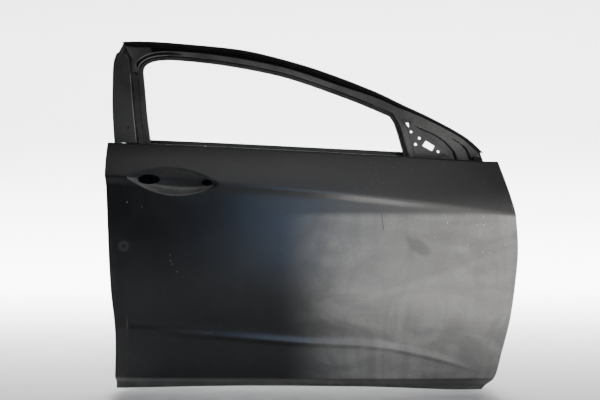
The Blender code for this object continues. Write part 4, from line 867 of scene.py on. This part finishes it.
# Below the belt the channel runs inside the door and takes the painted shade black.
paint_faces(rear_channel, lambda x, z, depth: z < 0.12, painted_shade_black)
add_painted_shade_plug(rear_channel, *small_hole, glass_seat)
front_channel = channel_strip("front_glass_channel_strip", np.linspace(0.2337, -0.205, 65), front_line, 1, (
    (0.0095, 0.0019), (0.0115, 0.0019), (0.0120, channel_floor), (0.0015, channel_floor),
), (0, 1, 0))
# The front channel's near-black is painted shade for its deep slot.
stand_for(front_channel, "front_glass_channel", black_coat("front_channel", 0.0035, 0.004, 0.40, 0.004))


# Outside plate of the rear pillar.
# Flat steel plate behind the pillar's trim, folded back along both edges and spot welded to the frame.
# Its two top corners are rounded and a small hole locates the trim.

plate_spans = 90
plate_inner = path(((-1.0637, 0.1730), (-1.0935, 0.3113), (-1.1132, 0.4014), (-1.1330, 0.4730)), plate_spans)
plate_outer = path((
    (-1.1340, 0.1730), (-1.1533, 0.2782), (-1.1657, 0.3580), (-1.1780, 0.4500), (-1.1740, 0.4860),
), plate_spans)
plate_run = unit(plate_outer - plate_inner)
room = np.linalg.norm(plate_inner[-1] - plate_inner, axis=1)


def corner_inset(radius):
    """Return how far a rounded top corner of that radius draws the plate's edge in, at each row."""
    return radius - np.sqrt(np.maximum(radius**2 - np.maximum(radius - room, 0) ** 2, 0))


plate_inner = plate_inner + plate_run * corner_inset(0.013)[:, None]
plate_outer = plate_outer - plate_run * corner_inset(0.004)[:, None]
plate_seat = 0.0122
plate_points = []
for edge, shift, depth in (
    (plate_inner, 0.0, plate_seat), (plate_inner, 0.0006, 0.0010), (plate_inner, 0.0020, 0.0),
    (plate_outer, -0.0020, 0.0), (plate_outer, -0.0006, 0.0010), (plate_outer, -0.0004, plate_seat),
    (plate_outer, -0.012, plate_seat),
):
    at = edge + plate_run * shift
    plate_points.append(frame_face(at[:, 0], at[:, 1], depth))
plate_rows = np.stack(plate_points, axis=1)
pillar_plate = pressed_strip("rear_pillar_outside_plate", plate_rows, steel, (0, -1, 0), 0.0016)
small_hole = -1.0958, 0.2192, 0.0025
cut_out(pillar_plate, [round_hole(*small_hole)])
stand_for(pillar_plate, "rear_pillar_plate", black_coat("plate", 0.008, 0.0085, 0.42, 0.045))


def plate_highlight_fold(x, z, depth):
    """Number the plate's further materials: 1 on the fold beside the glass channel, edge wear with a painted
    highlight.
    """
    middle = smooth_line(((0.17, -1.095), (0.35, -1.130), (0.45, -1.152)))(z)
    return ((x > middle) & (depth > 0.0001) & (depth < 0.0030) & (z < 0.40)).astype(int)


paint_faces(pillar_plate, plate_highlight_fold, worn_edge_with_painted_highlight)
add_painted_shade_plug(pillar_plate, *small_hole, steel)


# Inner panel.
# Deep-drawn steel pan with shut faces, a seal ledge and a stepped wall with service and speaker openings.
# The skin's hem is folded round its flange, and hinges, check arm, latch and lifter bolt on to it.

hinge_face = 0.0
hem_edge, hem_inner = (
    np.concatenate((rear[:-1], foot, front[1:]))
    for rear, foot, front in zip(rear_side, foot_side, front_side)
)
corners = (len(rear_side[0]) - 1, len(rear_side[0]) + len(foot_side[0]) - 2)
outward, inboard = edge_frame(hem_edge, hem_inner)
for corner, side_of_corner in zip(corners, (rear_side, tuple(rows[:1] for rows in front_side))):
    outward[corner] = unit(side_of_corner[0] - side_of_corner[1])[-1] + unit(foot_side[0] - foot_side[1])[
        0 if corner == corners[0] else -1]
flange_depth = 2 * steel + hem_gap
flange_tip = hem_edge + outward * (hem_radius - steel - 2 * hem_gap) + inboard * flange_depth
flange_end = hem_edge - outward * (0.014 - hem_radius) + inboard * flange_depth
belt_height = belt_line(hem_edge[:, 0])
sill_height = bottom_line(hem_edge[:, 0])
share_down = (belt_height - hem_edge[:, 2]) / (belt_height - sill_height - hem_radius)


def wall_height(rise):
    """Return the height of each station where the wall over the sill stands rise above the hem."""
    return mix(belt_height, sill_height + 0.022 + rise, share_down)


def latch_face(z):
    """Return the x of the raked latch shut face at height z."""
    return -1.1074 - 0.0556 * z


station = np.arange(len(hem_edge))
on_rear, on_front = station <= corners[0], station >= corners[1]
wall_x = np.where(on_rear, latch_face(wall_height(0.0)), np.minimum(
    hinge_face, front_edge(wall_height(0.0)) - 0.0185))
sill_share = np.clip((station - corners[0]) / (corners[1] - corners[0]), 0, 1)
wall_x = np.where(on_rear | on_front, wall_x, mix(wall_x[corners[0]], -0.048, sill_share))
step = np.where(on_rear, 1.0, np.where(on_front, -1.0, 0.0))


def pan_row(shift, y, rise):
    """Return one line of the pan round the door."""
    return np.stack([wall_x + step * shift, y + 0 * wall_x, wall_height(rise)], axis=1)


pan = np.stack([
    flange_tip, flange_end, pan_row(0.0, np.maximum(-0.045, flange_end[:, 1] + 0.012), 0.0),
    pan_row(0.0, 0.026, 0.0), pan_row(0.014, 0.026, 0.014), pan_row(0.016, cabin_wall, 0.016),
    pan_row(0.024, cabin_wall, 0.024),
], axis=1)
border = pan[:, -1]
sill = border[corners[0]:corners[1] + 1]
sill_shares = (sill[:, 0] - sill[0, 0]) / (sill[-1, 0] - sill[0, 0])
rear_wall, front_wall = border[:corners[0]], border[corners[1] + 1:][::-1]
count = min(len(rear_wall), len(front_wall))
wall_rows = [mix(rear_wall[k], front_wall[k], sill_shares[:, None]) for k in range(count)]
top_row = wall_rows[0].copy()
top_row[:, 2] = belt_line(top_row[:, 0]) + 0.021
wall = np.stack([top_row] + wall_rows + [sill])


def rounded_rise(x, z, box, corner, slope):
    """Return 1 well inside a box with rounded corners, 0 outside, with a sloping wall of that width."""
    low_x, high_x, low_z, high_z = box
    beside = np.maximum(np.maximum(low_x + corner - x, x - high_x + corner), 0)
    over = np.maximum(np.maximum(low_z + corner - z, z - high_z + corner), 0)
    return 1 - ramp(np.hypot(beside, over), corner - slope, corner)


def near_spacing(lengths, spacing):
    """Return how many steps bring each length near the spacing."""
    return np.maximum(1, np.round(lengths / spacing)).astype(int)


wall = between_rows(wall, near_spacing(np.linalg.norm(np.diff(wall, axis=0), axis=2).max(axis=1), 0.004))
wall = between_rows(wall.swapaxes(0, 1), near_spacing(np.abs(np.diff(wall[0, :, 0])), 0.0045)).swapaxes(0, 1)

# The service panel is pressed back from the cabin-side wall.
service_panel = rounded_rise(wall[..., 0], wall[..., 2], (-1.03, -0.075, -0.440, -0.005), 0.020, 0.006)
wall[..., 1] -= 0.008 * service_panel
pan_sheet = sheet_grid("inner_panel_pan", round_folds(pan, 0.0040, 5))
wall_sheet = sheet_grid("inner_panel_wall", wall)
select_alone(pan_sheet, wall_sheet)
bpy.ops.object.join()
finish_sheet(pan_sheet, steel, (0, 1, 0))


def rounded_outline(length, height, radius):
    """Return the (across, up) points of a box with rounded corners."""
    points = []
    for k, (side, over) in enumerate(((1, 1), (-1, 1), (-1, -1), (1, -1))):
        for turn in np.linspace(k * math.pi / 2, (k + 1) * math.pi / 2, 9):
            points.append((side * (length / 2 - radius) + radius * math.cos(turn),
                           over * (height / 2 - radius) + radius * math.sin(turn)))
    return points


def wall_hole(x, z, outline):
    """Return a cutter for an opening in the cabin-side wall."""
    return punch(around(x, cabin_wall - 0.030, z, outline), (0, 0.05, 0))


def hinge_hole(y, z, outline):
    """Return a cutter for a hole in the hinge shut face."""
    return punch([(hinge_face - 0.010, y + u, z + v) for u, v in outline], (0.020, 0, 0))


def latch_hole(y, z, outline):
    """Return a cutter for a hole in the raked latch shut face."""
    return punch([(latch_face(z + v) - 0.0089, y + u, z + v) for u, v in outline], (0.020, 0, 0))


shut_middle = (-0.036 + 0.021) / 2
latch_z, hinge_heights = -0.105, (0.0, -0.305)
panel_tools = [
    wall_hole(-0.775, -0.165, rounded_outline(0.320, 0.250, 0.050)),
    wall_hole(-0.405, -0.115, rounded_outline(0.270, 0.180, 0.045)),
    wall_hole(-0.480, -0.335, rounded_outline(0.240, 0.120, 0.035)),
    wall_hole(-0.185, -0.335, oval(0.160, 0.160, 72)),
    hinge_hole(shut_middle, -0.150, rounded_outline(0.030, 0.022, 0.004)),
    latch_hole(shut_middle, latch_z, rounded_outline(0.034, 0.046, 0.006)),
]
for hinge_z in hinge_heights:
    for side in (0.024, -0.024):
        panel_tools.append(hinge_hole(0.0, hinge_z + side, oval(0.015, 0.015, 24)))
for aside, rise in ((-0.0215, 0.032), (0.0215, 0.032), (0.0, -0.032)):
    panel_tools.append(latch_hole(shut_middle + aside, latch_z + rise, oval(0.007, 0.007, 20)))
cut_out(pan_sheet, panel_tools)
smooth()
stand_for(pan_sheet, "inner_panel", black_coat("inner_panel", 0.005, 0.0055, 0.40, 0.010, 0.22))


# Side-impact beam.
# A drawn tube of high-strength steel, cut square and open at both ends, with the primer inside it too.
# It is welded into a saddle bracket at each end and bonded to the skin by soft mastic pads.

beam_turns = np.linspace(0, math.tau, 49)
beam_low, beam_high, beam_radius, beam_end_gap = -0.290, -0.220, 0.0149, 0.023
beam_rear, beam_front = latch_face(beam_low) + beam_end_gap, hinge_face - beam_end_gap
beam_rows = []
for x in np.linspace(beam_rear, beam_front, 41):
    y = outermost + plan_depth(x) + 0.026 + beam_radius * np.cos(beam_turns)
    middle_z = mix(beam_low, beam_high, (x - beam_rear) / (beam_front - beam_rear))
    beam_rows.append(np.stack([0 * y + x, y, middle_z + beam_radius * np.sin(beam_turns)], axis=1))
beam = finish_sheet(sheet_grid("impact_beam_tube", np.stack(beam_rows)), 0.002)
grey_coat = primed_material("grey_electrocoat", (0.010, 0.0105, 0.011), 0.42, 0.020, shine=0.35)
stand_for(beam, "impact_beam", grey_coat)


# Reinforcements, brackets, plates, nuts and pads.
# Folded steel brackets, zinc-plated tapping plates and weld nuts, and pads of soft mastic.
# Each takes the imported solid's form, merged, with its folds and rims softly broken.

def dressed_copy(node, material, edge):
    """Stand a merged copy of a solid in its place, with its sharp edges broken."""
    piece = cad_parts[node].copy()
    piece.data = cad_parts[node].data.copy()
    piece.name = piece.data.name = node + "_piece"
    piece.parent = None
    bpy.context.scene.collection.objects.link(piece)
    to_quads = bpy.ops.mesh.tris_convert_to_quads, {"face_threshold": 0.1, "shape_threshold": 0.7}
    edit_mesh(piece, merge_within(0.00001), to_quads)
    apply_modifier(piece, "BEVEL", width=edge, segments=2, limit_method="ANGLE",
                   angle_limit=math.radians(35), harden_normals=False)
    smooth(38)
    stand_for(piece, node, material)


def zinc(tree):
    """Return the look of dull zinc plating, cloudy and faintly stained."""
    place = object_place(tree)
    clouds = noise(place, 60.0, 4.0)
    tone = blend(soft_step(clouds, 0.35, 0.65), (0.30, 0.29, 0.26), (0.50, 0.49, 0.45))
    rough = soft_step(clouds, 0.3, 0.7, 0.34, 0.50)
    return {"Base Color": tone, "Roughness": rough, "Metallic": 1.0}, noise(place, 500.0, 2.0), 0.0002


def dull(scale, detail, dark, pale, least, most):
    """Return the build of a dull, slightly lumpy look between two colours and two roughnesses."""
    def build(tree):
        lumps = noise(object_place(tree), scale, detail)
        look = {"Base Color": blend(lumps, dark, pale), "Roughness": soft_step(lumps, 0.3, 0.7, least, most)}
        return look, lumps, 0.0002
    return build


mastic = dull(120.0, 4.0, (0.05, 0.05, 0.048), (0.11, 0.11, 0.105), 0.75, 0.92)
plate_material = primed_material("grainy_primer", (0.011, 0.011, 0.011), 0.62, 0.075, relief_depth=0.0004)
for material, edge, nodes in (
    (plate_material, 0.0003, ("mirror_plate",)),
    # The front belt bracket takes the same painted shade black.
    (rail_painted_shade_black, 0.0003, ("front_belt_bracket",)),
    (grey_coat, 0.0003, (
        "outer_belt_reinforcement", "inner_belt_reinforcement", "front_beam_bracket", "rear_beam_bracket",
        "upper_hinge_reinforcement", "lower_hinge_reinforcement", "check_arm_reinforcement",
        "latch_reinforcement", "handle_reinforcement", "rear_channel_bracket", "front_channel_bracket")),
    (new_material("zinc_plating", zinc), 0.0006, (
        "upper_hinge_tapping_plate", "lower_hinge_tapping_plate",
        "mirror_nut_1", "mirror_nut_2", "mirror_nut_3")),
    (new_material("soft_mastic", mastic), 0.0015, (
        "beam_mastic_pad_1", "beam_mastic_pad_2", "beam_mastic_pad_3")),
):
    for node in nodes:
        dressed_copy(node, material, edge)


# Studio.
# A pale floor that curves up into a pale wall, with soft lights, and the camera of the photograph.
# Soft boxes in front and to the right leave the rear third of the skin dark, and two washes light the paper.

floor_z, sweep_start, sweep_radius, wall_top = -0.560, 1.6, 1.2, 6.0
sweep = [(-6.0, floor_z), (sweep_start, floor_z)]
sweep += [
    (sweep_start + sweep_radius * math.sin(turn), floor_z + sweep_radius * (1 - math.cos(turn)))
    for turn in np.linspace(0, math.pi / 2, 17)[1:]
]
sweep += [(sweep_start + sweep_radius, wall_top)]
cove = sheet_grid("studio_cove", np.array([[(x, y, z) for x in (-9.0, 8.0)] for y, z in sweep]))
bpy.ops.object.shade_smooth()
cove.data.flip_normals()

paper = dull(3.0, 2.0, (0.84, 0.84, 0.84), (0.87, 0.87, 0.87), 0.88, 0.94)
cove.data.materials.append(new_material("studio_paper", paper))

world = bpy.data.worlds.new("studio")
world.use_nodes = True
feed(world.node_tree.nodes["Background"], {"Color": (1, 1, 1, 1), "Strength": 0.06})
bpy.context.scene.world = world


def hang(name, data, place, rotation):
    """Put a light or a camera in the scene."""
    made = bpy.data.objects.new(name, data)
    made.location, made.rotation_euler = place, rotation
    bpy.context.scene.collection.objects.link(made)
    return made


def soft_box(name, place, target, size, radiance, colour=(1, 1, 1), spread=180):
    """Hang a rectangular soft light of that radiance at place, aimed at target and spread in degrees."""
    data = bpy.data.lights.new(name, "AREA")
    data.shape = "RECTANGLE"
    data.size, data.size_y = size
    data.energy = radiance * math.pi * size[0] * size[1]
    data.color = colour
    data.spread = math.radians(spread)
    aim = (Vector(target) - Vector(place)).to_track_quat("-Z", "Y").to_euler()
    hang(name, data, place, aim).visible_camera = False


soft_box("front_right", (1.35, -3.0, 0.10), (1.35, 0, 0.10), (3.3, 1.4), 3.3, (1.0, 0.98, 0.94))
soft_box("front_middle", (-0.60, -3.0, 0.10), (-0.60, 0, 0.10), (0.66, 1.4), 3.0, (0.30, 0.54, 1.0))
soft_box("front_left", (-1.04, -3.0, 0.10), (-1.04, 0, 0.10), (0.20, 1.3), 1.0, (0.70, 0.86, 1.0))
soft_box("floor_right", (0.90, -1.05, -0.54), (0.90, -1.05, 1.0), (2.5, 0.7), 13.0, (1.0, 0.98, 0.95))
soft_box("front_high", (-0.45, -3.3, 2.6), (-0.45, 0, 0.2), (4.8, 2.6), 0.42, spread=100)
soft_box("floor_wash", (-0.5, 1.8, 3.2), (-0.5, 1.8, 0), (9.0, 1.4), 12.5, spread=50)
soft_box("wall_wash", (-0.5, 0.6, 3.6), (-0.5, 2.8, 0.6), (9.0, 1.0), 12.0, spread=70)

sensor_width, focal_pixels, picture_width = 36, 509, 600
camera_data = bpy.data.cameras.new("camera")
camera_data.sensor_width = sensor_width
camera_data.lens = focal_pixels / picture_width * sensor_width
bpy.context.scene.camera = hang("camera", camera_data, (-0.572, -1.53, 0), (math.pi / 2, 0, 0))
